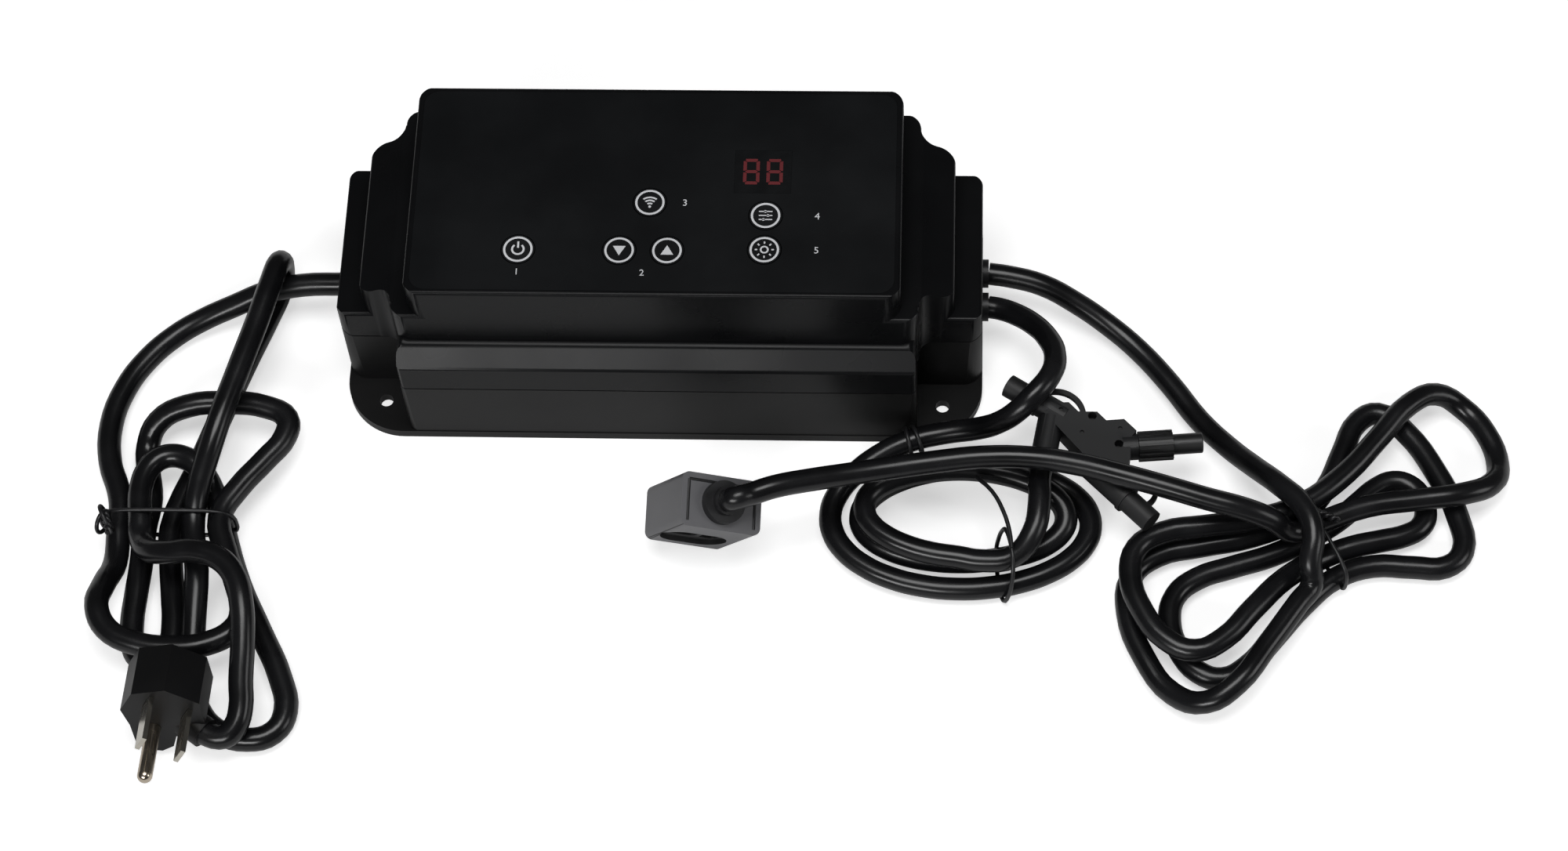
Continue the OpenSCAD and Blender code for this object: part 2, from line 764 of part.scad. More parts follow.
// Case base with its flange, screw towers and standoffs
module base_housing() {
    color("#262729") difference() {
        union() {
            linear_extrude(flange_t) plan(case_w, case_d, flange_r);
            intersection() {
                union() {
                    block_level(0, 0, edge_r);
                    level(wing_w, wing_d, wing_r, wing_top, 0, 0, 0, edge_r);
                }
                band(0, part_z);
            }
        }
        difference() {
            translate([0, 0, floor_z]) intersection() {
                union() {
                    block_level(wall_t, 0, edge_r);
                    level(wing_w, wing_d, wing_r, wing_top, 0, wall_t, 0, edge_r);
                }
                band(0, part_z);
            }
            at_corners(screw_dx, screw_dy) cylinder(d = tower_d, h = part_z);
            at_corners(main_board_w - 2 * board_screw_in,
                main_board_d - 2 * board_screw_in) cylinder(d = standoff_d, h = board_z);
        }
        translate([0, 0, -over]) at_corners(hole_dx, hole_dy)
            cylinder(d = hole_d, h = flange_t + 2 * over);
        at_corners(screw_dx, screw_dy) {
            translate([0, 0, -over])
                cylinder(d = screw_head_d + 2 * loose, h = screw_seat_z + over);
            cylinder(d = screw_d + loose, h = part_z + over);
        }
        translate([0, 0, floor_z]) at_corners(main_board_w - 2 * board_screw_in,
            main_board_d - 2 * board_screw_in)
            cylinder(d = small_screw_d + fit, h = board_z);
        for (p = exits) translate([p.x, p.y, exit_z]) rotate([0, 90, 0])
            cylinder(d = relief_d + fit, h = 4 * wall_t, center = true);
        translate([0, 0, part_z - gasket_t]) linear_extrude(gasket_t + over)
            difference() {
                rim_plan(draft_in + groove_in);
                rim_plan(draft_in + groove_out);
            }
        translate([0, 0, part_z - reveal_h]) linear_extrude(reveal_h + over)
            difference() {
                square([case_w + 2 * over, case_d + 2 * over], center = true);
                rim_plan(draft_in + reveal);
            }
    }
}

// Seal in the groove of the base's rim
module base_gasket() {
    color("#5a5d60") translate([0, 0, part_z - gasket_t]) linear_extrude(gasket_t)
        difference() {
            rim_plan(draft_in + groove_in + fit / 2);
            rim_plan(draft_in + groove_out - fit / 2);
        }
}

// Stepped cover with its panel block, screw bosses and key guides
module top_cover() {
    color("#1d1e20") difference() {
        union() {
            difference() {
                case_form(0, 0, edge_r);
                case_form(wall_t, roof_t, edge_r);
                band(-over, part_z);
            }
            intersection() {
                union() {
                    at_corners(screw_dx, screw_dy) translate([0, 0, part_z])
                        cylinder(d = tower_d, h = boss_top + eps - part_z);
                    at_corners(control_board_w - 2 * control_screw_in,
                        control_board_d - 2 * control_screw_in)
                        translate([0, 0, control_top])
                        cylinder(d = standoff_d, h = roof_z + eps - control_top);
                }
                case_form(0, 0, edge_r);
            }
        }
        at_corners(screw_dx, screw_dy) translate([0, 0, part_z - over])
            cylinder(d = screw_d + fit, h = screw_seat_z + screw_len + over - part_z + over);
        at_corners(control_board_w - 2 * control_screw_in,
            control_board_d - 2 * control_screw_in)
            translate([0, 0, control_top - over])
            cylinder(d = small_screw_d + fit, h = control_drop);
        translate([0, 0, panel_rim_z]) linear_extrude(overlay_t + over)
            plan(overlay_w, overlay_d, overlay_r);
        for (p = key_places) translate([p.x, p.y, 0]) {
            translate([0, 0, key_seat_z]) cylinder(d = key_d + 2 * panel_gap, h = roof_t);
            translate([0, 0, roof_z - over])
                cylinder(d = key_stem_d + 2 * panel_gap, h = roof_t + over);
        }
        translate([display_x, display_y, case_h / 2])
            linear_extrude(case_h) square([display_w + 2 * panel_gap,
                display_d + 2 * panel_gap], center = true);
    }
}

// Printed sheet on top of the panel
module panel_overlay() {
    color("#141619") translate([0, 0, panel_rim_z]) linear_extrude(overlay_t)
        difference() {
            plan(overlay_w - fit, overlay_d - fit, overlay_r - fit / 2);
            for (p = key_places) translate(p) circle(d = key_d + 2 * panel_gap);
            translate([display_x, display_y])
                square([window_w + fit, window_d + fit], center = true);
        }
}

// Clear pane over the display
module display_window() {
    color("#2a1012") translate([display_x, display_y, panel_rim_z])
        linear_extrude(overlay_t) square([window_w, window_d], center = true);
}

// One push key with its stem
module key_at(p) {
    top = case_h + key_lift;
    translate([p.x, p.y, 0]) {
        translate([0, 0, top - key_t]) cylinder(d = key_d, h = key_t);
        translate([0, 0, stem_bottom]) cylinder(d = key_stem_d, h = top - key_t - stem_bottom + eps);
    }
}

module key_power() {
    color("#17191c") key_at(key_places[0]);
}

module key_down() {
    color("#17191c") key_at(key_places[1]);
}

module key_up() {
    color("#17191c") key_at(key_places[2]);
}

module key_pair() {
    color("#17191c") key_at(key_places[3]);
}

module key_mode() {
    color("#17191c") key_at(key_places[4]);
}

module key_set() {
    color("#17191c") key_at(key_places[5]);
}

// A pan-head screw along Z, head down, its seat at z
module screw(d, head_d, head_t, len) {
    translate([0, 0, -head_t]) cylinder(d = head_d, h = head_t);
    cylinder(d = d, h = len);
}

module housing_screws() {
    color("#8d9094") at_corners(screw_dx, screw_dy) translate([0, 0, screw_seat_z])
        screw(screw_d, screw_head_d, screw_head_t, screw_len);
}

// Two-digit display on the control board
module display_module() {
    color("#5c1418") translate([display_x, display_y, control_top + display_h / 2])
        cube([display_w, display_d, display_h], center = true);
}

// Board behind the panel
module control_board() {
    color("#1f5a3a") translate([0, 0, control_z]) linear_extrude(board_t)
        difference() {
            square([control_board_w, control_board_d], center = true);
            at_corners(control_board_w - 2 * control_screw_in,
                control_board_d - 2 * control_screw_in)
                circle(d = small_screw_d + fit);
        }
}

// Key switches with the wells that take the key stems
module tact_switches() {
    color("#3b3d40") for (p = key_places) translate([p.x, p.y, control_top])
        difference() {
            linear_extrude(switch_h) square(switch_w, center = true);
            translate([0, 0, switch_h - switch_well])
                cylinder(d = key_stem_d + 2 * panel_gap, h = switch_well + over);
        }
}

module control_chip() {
    color("#222326") translate([chip_x, chip_y, control_z - chip_h])
        linear_extrude(chip_h) square(chip_w, center = true);
}

// Radio module with its shield
module radio_module() {
    color("#a9adb0") translate([radio_x, radio_y, control_z - radio_h])
        linear_extrude(radio_h) square([radio_w, radio_d], center = true);
}

// Ribbon cable with a header at each board
module ribbon_cable() {
    color("#8a8c8f") translate([ribbon_x, ribbon_y, 0]) {
        translate([0, 0, board_top]) linear_extrude(header_h)
            square([ribbon_w, header_t], center = true);
        translate([0, 0, board_top + header_h])
            linear_extrude(control_z - board_top - 2 * header_h)
            square([ribbon_w, ribbon_t], center = true);
        translate([0, 0, control_z - header_h]) linear_extrude(header_h)
            square([ribbon_w, header_t], center = true);
    }
}

module control_screws() {
    color("#b9bbbd") at_corners(control_board_w - 2 * control_screw_in,
        control_board_d - 2 * control_screw_in) translate([0, 0, control_z])
        screw(small_screw_d, small_head_d, small_head_t, control_screw_len);
}

// Power board on the base's standoffs
module main_board() {
    color("#2b6b3f") translate([0, 0, board_z]) linear_extrude(board_t)
        difference() {
            square([main_board_w, main_board_d], center = true);
            at_corners(main_board_w - 2 * board_screw_in,
                main_board_d - 2 * board_screw_in) circle(d = small_screw_d + fit);
        }
}

module board_screws() {
    color("#b9bbbd") at_corners(main_board_w - 2 * board_screw_in,
        main_board_d - 2 * board_screw_in) translate([0, 0, board_top])
        mirror([0, 0, 1])
        screw(small_screw_d, small_head_d, small_head_t, board_screw_len);
}

module on_board(x, y) {
    translate([x, y, board_top]) children();
}

// Ferrite core with a round centre leg
module transformer_core() {
    color("#4b4d50") on_board(core_x, core_y) difference() {
        translate([0, 0, core_h / 2]) cube([core_w, core_d, core_h], center = true);
        translate([0, 0, core_yoke]) difference() {
            cylinder(r = core_w / 2 - core_yoke, h = core_h - 2 * core_yoke);
            translate([0, 0, -over])
                cylinder(d = core_leg_d, h = core_h + over);
        }
    }
}

module transformer_bobbin() {
    color("#c9c4b0") on_board(core_x, core_y)
        translate([0, 0, core_yoke + winding_gap / 2]) rotate_extrude()
        polygon([[bobbin_r, 0], [bobbin_out, 0], [bobbin_out, bobbin_t],
            [bobbin_r + bobbin_t, bobbin_t], [bobbin_r + bobbin_t, bobbin_h - bobbin_t],
            [bobbin_out, bobbin_h - bobbin_t], [bobbin_out, bobbin_h],
            [bobbin_r, bobbin_h]]);
}

module transformer_winding() {
    color("#b8862b") on_board(core_x, core_y)
        translate([0, 0, core_yoke + winding_gap / 2 + bobbin_t + fit]) difference() {
            cylinder(r = winding_r, h = bobbin_h - 2 * bobbin_t - 2 * fit);
            translate([0, 0, -over])
                cylinder(r = bobbin_r + bobbin_t + fit, h = bobbin_h + over);
        }
}

// Ring core of the input filter
module choke_core() {
    color("#3c6a4a") on_board(choke_x, choke_y) translate([0, 0, choke_lift])
        difference() {
            cylinder(r = choke_r, h = choke_h);
            translate([0, 0, -over]) cylinder(r = choke_bore_r, h = choke_h + 2 * over);
        }
}

module choke_winding() {
    inner = choke_bore_r - choke_wire;
    outer = choke_r + choke_wire;
    color("#b87333") on_board(choke_x, choke_y)
        for (a = [0, 180]) rotate([0, 0, a]) rotate_extrude(angle = choke_span_a)
        difference() {
            translate([inner, 0])
                square([outer - inner, choke_h + 2 * choke_lift]);
            translate([choke_bore_r - fit, choke_lift - fit])
                square([choke_r - choke_bore_r + 2 * fit, choke_h + 2 * fit]);
        }
}

module input_capacitor() {
    color("#20356b") on_board(cap_x, cap_y) cylinder(d = cap_d, h = cap_h);
}

module output_capacitors() {
    color("#23262b") for (i = [0, 1], j = [0, 1])
        on_board(out_cap_x + i * out_cap_pitch, out_cap_y + j * out_cap_pitch)
        cylinder(d = out_cap_d, h = out_cap_h);
}

module rectifier() {
    color("#2c2d30") on_board(bridge_x, bridge_y) linear_extrude(bridge_h)
        square([bridge_w, bridge_t], center = true);
}

// Finned plate that cools the transistors
module heat_sink() {
    color("#b4b7ba") on_board(sink_x, sink_y) linear_extrude(sink_h) {
        square([sink_w, sink_t], center = true);
        for (i = [0:fin_count - 1])
            translate([-sink_w / 2 + i * (sink_w - fin_t) / (fin_count - 1),
                -sink_t / 2 - fin_l]) square([fin_t, fin_l + sink_t / 2]);
    }
}

module power_transistors() {
    color("#222427") for (i = [-1:1])
        on_board(sink_x + i * tab_pitch, sink_y + (sink_t + tab_t) / 2)
        linear_extrude(tab_h + tab_lift) square([tab_w, tab_t], center = true);
}

module relay() {
    color("#2c4f8c") on_board(relay_x, relay_y) linear_extrude(relay_h)
        square([relay_w, relay_d], center = true);
}

module fuse() {
    color("#d9dcdc") on_board(fuse_x, fuse_y) translate([0, 0, fuse_lift])
        rotate([0, 90, 0]) cylinder(d = fuse_d, h = fuse_l, center = true);
}

// Clips that hold the fuse at both ends
module fuse_clips() {
    color("#c8a24a") for (x = [-1, 1])
        on_board(fuse_x + x * (fuse_l - clip_l) / 2, fuse_y) difference() {
            translate([0, 0, clip_h / 2]) cube([clip_l, clip_w, clip_h], center = true);
            translate([0, 0, fuse_lift]) rotate([0, 90, 0])
                cylinder(d = fuse_d + fit, h = clip_l + 2 * over, center = true);
        }
}

module terminal_blocks() {
    color("#3d8f56") for (x = [-1, 1]) on_board(x * block_x, 0)
        linear_extrude(block_h) square([block_t, block_len], center = true);
}

// Wires from the cords to the terminals
module inner_leads() {
    color("#c9b24a") for (p = exits, k = [-0.5, 0.5])
        translate([sign(p.x) * lead_end_x, p.y + k * lead_pitch, exit_z])
        rotate([0, sign(p.x) * 90, 0]) cylinder(d = lead_d, h = relief_end_x - lead_end_x);
}

// Sleeve round a cord where it passes the wall, pointing outwards along +Z
module relief() {
    translate([0, 0, -wall_t - fit]) cylinder(d = relief_d, h = wall_t + relief_out + fit);
    translate([0, 0, -wall_t - fit - relief_collar_t])
        cylinder(d = relief_collar_d, h = relief_collar_t);
    translate([0, 0, relief_end_x - exit_x])
        cylinder(d1 = relief_neck_d, d2 = relief_d, h = exit_x - relief_end_x - wall_t);
}

module power_strain_relief() {
    color("#202124") translate([exits[0].x, exits[0].y, exit_z])
        rotate([0, -90, 0]) relief();
}

module output_strain_reliefs() {
    color("#202124") for (i = [1, 2])
        translate([exits[i].x, exits[i].y, exit_z]) rotate([0, 90, 0]) relief();
}

// Power cord, its hank and the lead to the plug
module power_cord() {
    color("#232427") tube(power_line, power_cord_d, tube_sides);
}

module power_hank() {
    color("#232427") tube(hank_path, power_cord_d, coil_sides);
}

module plug_lead() {
    color("#232427") tube(plug_line, power_cord_d, tube_sides);
}

// A flat strip bent round a bundle, w across and h high over its inside
module strip_ring(w, h) {
    rotate([90, 0, 0]) linear_extrude(tie_w, center = true) difference() {
        translate([-w / 2 - tie_t, -tie_t]) square([w + 2 * tie_t, h + 2 * tie_t]);
        translate([-w / 2, 0]) square([w, h]);
    }
}

// Tie round the power hank, with its twisted end
module power_tie() {
    left = hank_waist.x - 3 * hank_pitch - tie_gap;
    right = hank_waist.x + 2 * hank_pitch + tie_gap;
    high = hank_pitch + power_cord_d + 2 * tie_gap + hank_tie_rise;
    low = hank_low - power_cord_d / 2 - tie_gap;
    color("#1a1b1d") translate([(left + right) / 2, hank_waist.y, low]) {
        strip_ring(right - left, high);
        translate([(left - right) / 2 + tie_knot_d, 0, high + tie_t + tie_knot_d / 2 - eps])
            rotate([90, 0, 0]) cylinder(d = tie_knot_d, h = tie_knot_l, center = true);
    }
}

// Plug: the frame has its face at the origin, pins along +Z
module at_plug() {
    translate(plug_face) rotate([90 - plug_lean_a, 0, 0]) children();
}

module plug_body() {
    color("#1b1c1f") difference() {
        union() {
            at_plug() translate([0, 0, -plug_depth]) linear_extrude(plug_depth)
                polygon([for (p = plug_outline_share) plug_w * p]);
            hull() {
                translate(boot_from) sphere(d = boot_d);
                translate(boot_end - boot_l / 2 * unit(boot_aim))
                    sphere(d = boot_d - over);
            }
            boot_sleeve();
        }
        at_plug() translate([-plug_w, -plug_w - plug_step_y, -plug_depth - over])
            cube([2 * plug_w, plug_w, plug_depth + over - plug_step_z]);
        at_plug() pins_at(fit / 2, pin_root + eps);
    }
}

module boot_sleeve() {
    way = unit(boot_aim);
    translate(boot_end) rotate([0, acos(way.z), atan2(way.y, way.x)])
        translate([0, 0, -boot_l / 2]) cylinder(d = boot_d - over, h = boot_l / 2);
}

module pins_at(grow, root) {
    rotate([0, 0, plug_roll_a]) {
        for (x = [-1, 1]) translate([x * blade_pitch / 2, pin_up, -root])
            linear_extrude(root + blade_l)
            square([blade_t + 2 * grow, blade_w + 2 * grow], center = true);
        translate([0, pin_up - ground_drop, -root])
            cylinder(d = ground_d + 2 * grow, h = root + ground_l);
    }
}

module plug_blades() {
    color("#c9c3b4") at_plug() rotate([0, 0, plug_roll_a])
        for (x = [-1, 1]) translate([x * blade_pitch / 2, pin_up, -pin_root])
        linear_extrude(pin_root + blade_l) square([blade_t, blade_w], center = true);
}

module ground_pin() {
    color("#b79a62") at_plug() rotate([0, 0, plug_roll_a])
        translate([0, pin_up - ground_drop, -pin_root]) {
            cylinder(d = ground_d, h = pin_root + ground_l - ground_d / 2);
            translate([0, 0, pin_root + ground_l - ground_d / 2]) sphere(d = ground_d);
        }
}

// Output cord, its oval coil and the lead to the splitter
module output_cord() {
    color("#232427") tube(output_line, signal_cord_d, tube_sides);
}

module output_coil() {
    color("#232427") tube(oval_path, signal_cord_d, coil_sides);
}

module output_lead() {
    color("#232427") tube(lead_line, signal_cord_d, tube_sides);
}

module output_tie() {
    low = oval_low - signal_cord_d / 2 - tie_gap;
    near = oval_mid.y - oval_tie_out_share * oval_ry;
    far = oval_mid.y - oval_tie_in_share * oval_ry;
    color("#1a1b1d") translate([oval_tie_x, (near + far) / 2, low]) rotate([0, 0, 90])
        strip_ring(far - near, oval_pitch + signal_cord_d + 2 * tie_gap + oval_tie_rise);
}

// Three-way connector box lying on the output coil
module at_split() {
    translate([split_mid.x, split_mid.y, split_z + split_t / 2]) children();
}

// A place on the box and a direction in its plane, which +Z then follows
module at_port(share, a) {
    translate(split_len * share) rotate([0, 0, a]) rotate([0, 90, 0]) children();
}

module stub(len) {
    translate([0, 0, -port_root]) cylinder(d = port_d, h = port_root + len);
    cylinder(d = stub_d, h = len + stub_l);
}

module split_outline() {
    polygon([for (p = split_outline_share) split_len * p]);
}

module splitter_body() {
    color("#33363a") difference() {
        union() {
            at_split() {
                translate([0, 0, -split_t / 2]) linear_extrude(split_t) split_outline();
                at_port(upper_port_share, upper_port_a) stub(upper_port_l);
                at_port(lower_port_share, lower_port_a) stub(lower_port_l);
                at_port(nut_port_share, nut_aim_a) translate([0, 0, -port_root])
                    cylinder(d = port_d, h = port_root);
            }
            translate(inlet_end) rotate([0, 0, inlet_a]) rotate([0, 90, 0])
                cylinder(d = port_d, h = inlet_l);
        }
        at_split() {
            for (p = screw_dots_share) translate(split_len * p)
                translate([0, 0, split_t / 2 - dot_deep]) cylinder(d = dot_d, h = split_t);
            for (p = post_holes_share) translate(split_len * p)
                translate([0, 0, split_t / 2 - post_deep])
                cylinder(d = post_hole_d, h = split_t);
            at_port(nut_port_share, nut_aim_a) translate([0, 0, -insert_root])
                cylinder(d = insert_d + fit, h = port_root);
        }
    }
}

// A cap over a stub, with its flange towards the box
module cap_cup() {
    difference() {
        union() {
            cylinder(d = cap_flange_d, h = cap_flange_t);
            cylinder(d = cap_out_d, h = cap_out_l);
        }
        translate([0, 0, -over]) cylinder(d = stub_d + fit, h = cap_deep + over);
    }
}

// A flat strap bent in the plane of the box
module strap(share, r, from_a, span_a) {
    translate(split_len * share) rotate([0, 0, from_a])
        rotate_extrude(angle = span_a) translate([r - strap_w / 2, -strap_t / 2])
        square([strap_w, strap_t]);
}

module splitter_caps() {
    color("#1f2023") at_split() {
        difference() {
            union() {
                at_port(upper_port_share, upper_port_a)
                    translate([0, 0, upper_port_l + fit]) cap_cup();
                strap(upper_strap_share, upper_strap_r, 0, upper_strap_a);
            }
            at_port(upper_port_share, upper_port_a)
                cylinder(d = stub_d + fit, h = upper_port_l + cap_deep);
            at_port(upper_port_share, upper_port_a) translate([0, 0, -port_root])
                cylinder(d = port_d + fit, h = port_root + upper_port_l + fit);
        }
        difference() {
            union() {
                at_port(lower_port_share, lower_port_a)
                    translate([0, 0, lower_port_l + fit]) cap_cup();
                strap(lower_strap_share, lower_strap_r, lower_strap_a,
                    -lower_strap_span_a);
            }
            at_port(lower_port_share, lower_port_a)
                cylinder(d = stub_d + fit, h = lower_port_l + cap_deep);
            at_port(lower_port_share, lower_port_a) translate([0, 0, -port_root])
                cylinder(d = port_d + fit, h = port_root + lower_port_l + fit);
        }
    }
}

// Ribbed nut and the insert that it holds
module connector_nut() {
    color("#1c1d20") at_split() at_port(nut_port_share, nut_aim_a)
        translate([0, 0, fit]) linear_extrude(nut_l) difference() {
            union() {
                circle(d = nut_d - 2 * nut_rib_h);
                for (k = [0:nut_rib_count / 2 - 1]) rotate(k * 360 / nut_rib_count)
                    square([nut_d, nut_rib_w], center = true);
            }
            circle(d = insert_d + fit);
        }
}

module connector_insert() {
    color("#26282b") at_split() at_port(nut_port_share, nut_aim_a)
        translate([0, 0, -insert_root + fit]) difference() {
            cylinder(d = insert_d, h = insert_root + nut_l + insert_l);
            translate([0, 0, insert_root + nut_l + insert_l - insert_deep])
                cylinder(d = insert_bore, h = insert_deep + over);
        }
}

// Sensor cord, its bow-shaped coil and the lead to the head
module sensor_cord() {
    color("#232427") tube(sensor_line, signal_cord_d, tube_sides);
}

module sensor_coil() {
    color("#232427") tube(bow_path, signal_cord_d, coil_sides);
}

module sensor_lead() {
    color("#232427") tube(head_line, signal_cord_d, tube_sides);
}

module sensor_tie() {
    low = bow_low - signal_cord_d / 2 - tie_gap;
    color("#1a1b1d") translate([bow_waist.x, bow_waist.y, low])
        rotate([0, 0, bow_axis_a + 90])
        strip_ring(4 * bow_pitch + 2 * tie_gap, bow_pitch + signal_cord_d + 2 * tie_gap);
}

// Sensor head: the frame has its middle at the origin, the cord leaves along +Z
module at_head() {
    translate(head_mid) rotate(a = head_turn_a, v = head_turn_v) children();
}

module at_eye(deep) {
    translate([eye_x, deep - head_d / 2, eye_z]) rotate([90, 0, 0]) children();
}

// The two windows of the eye, each smaller by the gap round its cell
module eye_windows(g) {
    for (i = [0, 1]) translate([eye_window_x[i], 0])
        plan(eye_window_w[i] - 2 * g, eye_window_h - 2 * g, eye_window_r - g);
}

module sensor_housing() {
    color("#55575b") at_head() difference() {
        translate([0, 0, -head_h / 2]) linear_extrude(head_h)
            plan(head_w, head_d, head_r);
        translate([0, (eye_wall - head_wall) / 2, -head_h / 2 + head_wall])
            linear_extrude(head_h - 2 * head_wall) square([head_w - 2 * head_wall,
                head_d - eye_wall - head_wall], center = true);
        translate([0, 0, head_h / 2 - head_wall - over])
            cylinder(d = neck_d + fit, h = head_wall + 2 * over);
        at_eye(eye_deep) linear_extrude(eye_deep + over) {
            square([eye_w - eye_h, eye_h], center = true);
            for (x = [-1, 1]) translate([x * (eye_w - eye_h) / 2, 0])
                circle(d = eye_h);
        }
        at_eye(eye_wall + over) linear_extrude(eye_wall + over) eye_windows(0);
    }
}

// Collar and sleeve where the cord leaves the head
module sensor_boot() {
    color("#3c3e42") at_head() translate([0, 0, head_h / 2]) {
        translate([0, 0, -head_wall]) cylinder(d = neck_d, h = head_wall);
        cylinder(d = collar_d, h = collar_t);
        cylinder(d = neck_d, h = collar_t + neck_l);
    }
}

// Sensing cells in the eye's two windows
module sensor_cell() {
    color("#8c7a3a") at_head() at_eye(eye_deep + cell_sunk + cell_l)
        linear_extrude(cell_l) eye_windows(fit / 2);
}

base_housing();
base_gasket();
top_cover();
panel_overlay();
display_window();
key_power();
key_down();
key_up();
key_pair();
key_mode();
key_set();
housing_screws();
display_module();
control_board();
tact_switches();
control_chip();
radio_module();
ribbon_cable();
control_screws();
main_board();
board_screws();
transformer_core();
transformer_bobbin();
transformer_winding();
choke_core();
choke_winding();
input_capacitor();
output_capacitors();
rectifier();
heat_sink();
power_transistors();
relay();
fuse();
fuse_clips();
terminal_blocks();
inner_leads();
power_strain_relief();
output_strain_reliefs();
power_cord();
power_hank();
plug_lead();
power_tie();
plug_body();
plug_blades();
ground_pin();
output_cord();
output_coil();
output_lead();
output_tie();
splitter_body();
splitter_caps();
connector_nut();
connector_insert();
sensor_cord();
sensor_coil();
sensor_lead();
sensor_tie();
sensor_housing();
sensor_boot();
sensor_cell();
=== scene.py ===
"""Dresses a wall-mounted smart power supply: a stepped black case with a keypad, a mains
cord with its plug, an output cord with a connector box and a cord with a sensor head."""

import math

import bpy
import bmesh
from mathutils import Matrix, Vector


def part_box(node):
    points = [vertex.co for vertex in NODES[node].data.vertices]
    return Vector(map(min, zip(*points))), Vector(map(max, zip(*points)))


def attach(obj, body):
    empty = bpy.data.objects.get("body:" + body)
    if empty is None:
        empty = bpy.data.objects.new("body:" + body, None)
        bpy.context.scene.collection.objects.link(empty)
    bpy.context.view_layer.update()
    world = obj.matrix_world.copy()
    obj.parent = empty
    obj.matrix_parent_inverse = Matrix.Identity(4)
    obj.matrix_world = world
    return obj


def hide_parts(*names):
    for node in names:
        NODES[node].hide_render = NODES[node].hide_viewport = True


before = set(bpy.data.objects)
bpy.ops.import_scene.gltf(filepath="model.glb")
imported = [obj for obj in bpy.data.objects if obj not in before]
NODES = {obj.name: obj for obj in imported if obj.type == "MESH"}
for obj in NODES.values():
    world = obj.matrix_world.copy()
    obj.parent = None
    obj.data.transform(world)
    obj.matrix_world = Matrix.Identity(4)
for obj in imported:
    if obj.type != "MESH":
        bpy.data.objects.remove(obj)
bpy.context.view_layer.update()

bl_info = {
    "name": "Smart power supply",
    "version": (1, 0, 0),
    "blender": (4, 5, 0),
    "location": "View3D > Sidebar > Supply",
    "description": "Builds the looks of a smart power supply round its CAD model",
    "category": "Object",
}

MM = 0.001
CASE = "case"

# Cord routes, in mm

POWER_D = 7.8
SIGNAL_D = 7.4
EXIT_X = 106.192
EXIT_Y = 6.4
EXIT_Z = 17.0
PITCH_GAP = 0.8
CORD_LIFT = 1.1
HALF_RINGS = 12
BULGE_SHARE = 1.3

# Each row of a coil is one half turn. It holds the lanes and the layers at its start and its
# end, counted in pitches, its reach, bulge and bow, the lift of each layer, where in the turn
# the lift begins and ends, the middle and the half width of the change of layers in degrees,
# and the side of the waist that it lies on.
HANK_WAIST = (-153, -86)
HANK_AXIS = 90
HANK_START = 0
HANK_ROWS = [
    [-2.5, 1.5, 0, 1, 47.9, 11.8, 6.8, 11.5, 0, 0.25, 0.7, 131.5, 16, -1],
    [1.5, -1.5, 1, 0, 42.3, 15.3, 11.3, 0, 0, 0, 0.5, 123.4, 17.9, 1],
    [-1.5, -0.5, 0, 0, 48.1, 3.9, 2.9, 0, 0, 0, 0.5, 90, 90, -1],
    [-0.5, 0.5, 0, 1, 92, 0, 25, 0, 14.2, 0, 0.34, 90, 26, 1],
    [0.5, 1.5, 1, 0, 74, 11.9, 19.2, 0, 0, 0, 0.5, 31.6, 19.8, -1],
    [1.5, -1.5, 0, 1, 22.4, 0.5, -4.7, 0, 0, 0, 0.5, 36.2, 21.7, 1],
]
BOW_WAIST = (212, -87)
BOW_AXIS = 26
BOW_START = 15
BOW_ROWS = [
    [1.5, -1.5, 1, 0, 68.2, 19.7, 11.3, 0, 0, 0, 0.5, 62, 17.4, -1],
    [-1.5, 1.5, 0, 0, 46.7, 22.3, -7.8, 0, 0, 0, 0.5, 90, 90, 1],
    [1.5, -0.5, 0, 0, 57.1, 12.2, 9.5, 0, 0, 0, 0.5, 90, 90, -1],
    [-0.5, 0.5, 0, 0, 37.9, 7.1, -1.6, 0, 0, 0, 0.5, 90, 90, 1],
    [0.5, -1.5, 0, 1, 63.5, 16.2, 3.9, 0, 0, 0, 0.5, 13, 14, -1],
    [-1.5, -0.5, 1, 1, 68.3, 16.5, -5, -8.2, -8.2, 0.77, 1, 90, 90, 1],
]
# The oval coil: its middle, half lengths, pitch and drop in mm, the rest in degrees along it.
OVAL_MID = (100, -79.5)
OVAL_RX = 46
OVAL_RY = 28.5
OVAL_PITCH = 9.7
OVAL_START = 115
OVAL_IN = 540
OVAL_CLIMB = 180
OVAL_OUT = 155
OVAL_STEP = 15
OVAL_LEAD = 15
OVAL_DROP = 7
OVAL_DROP_TURN = 60

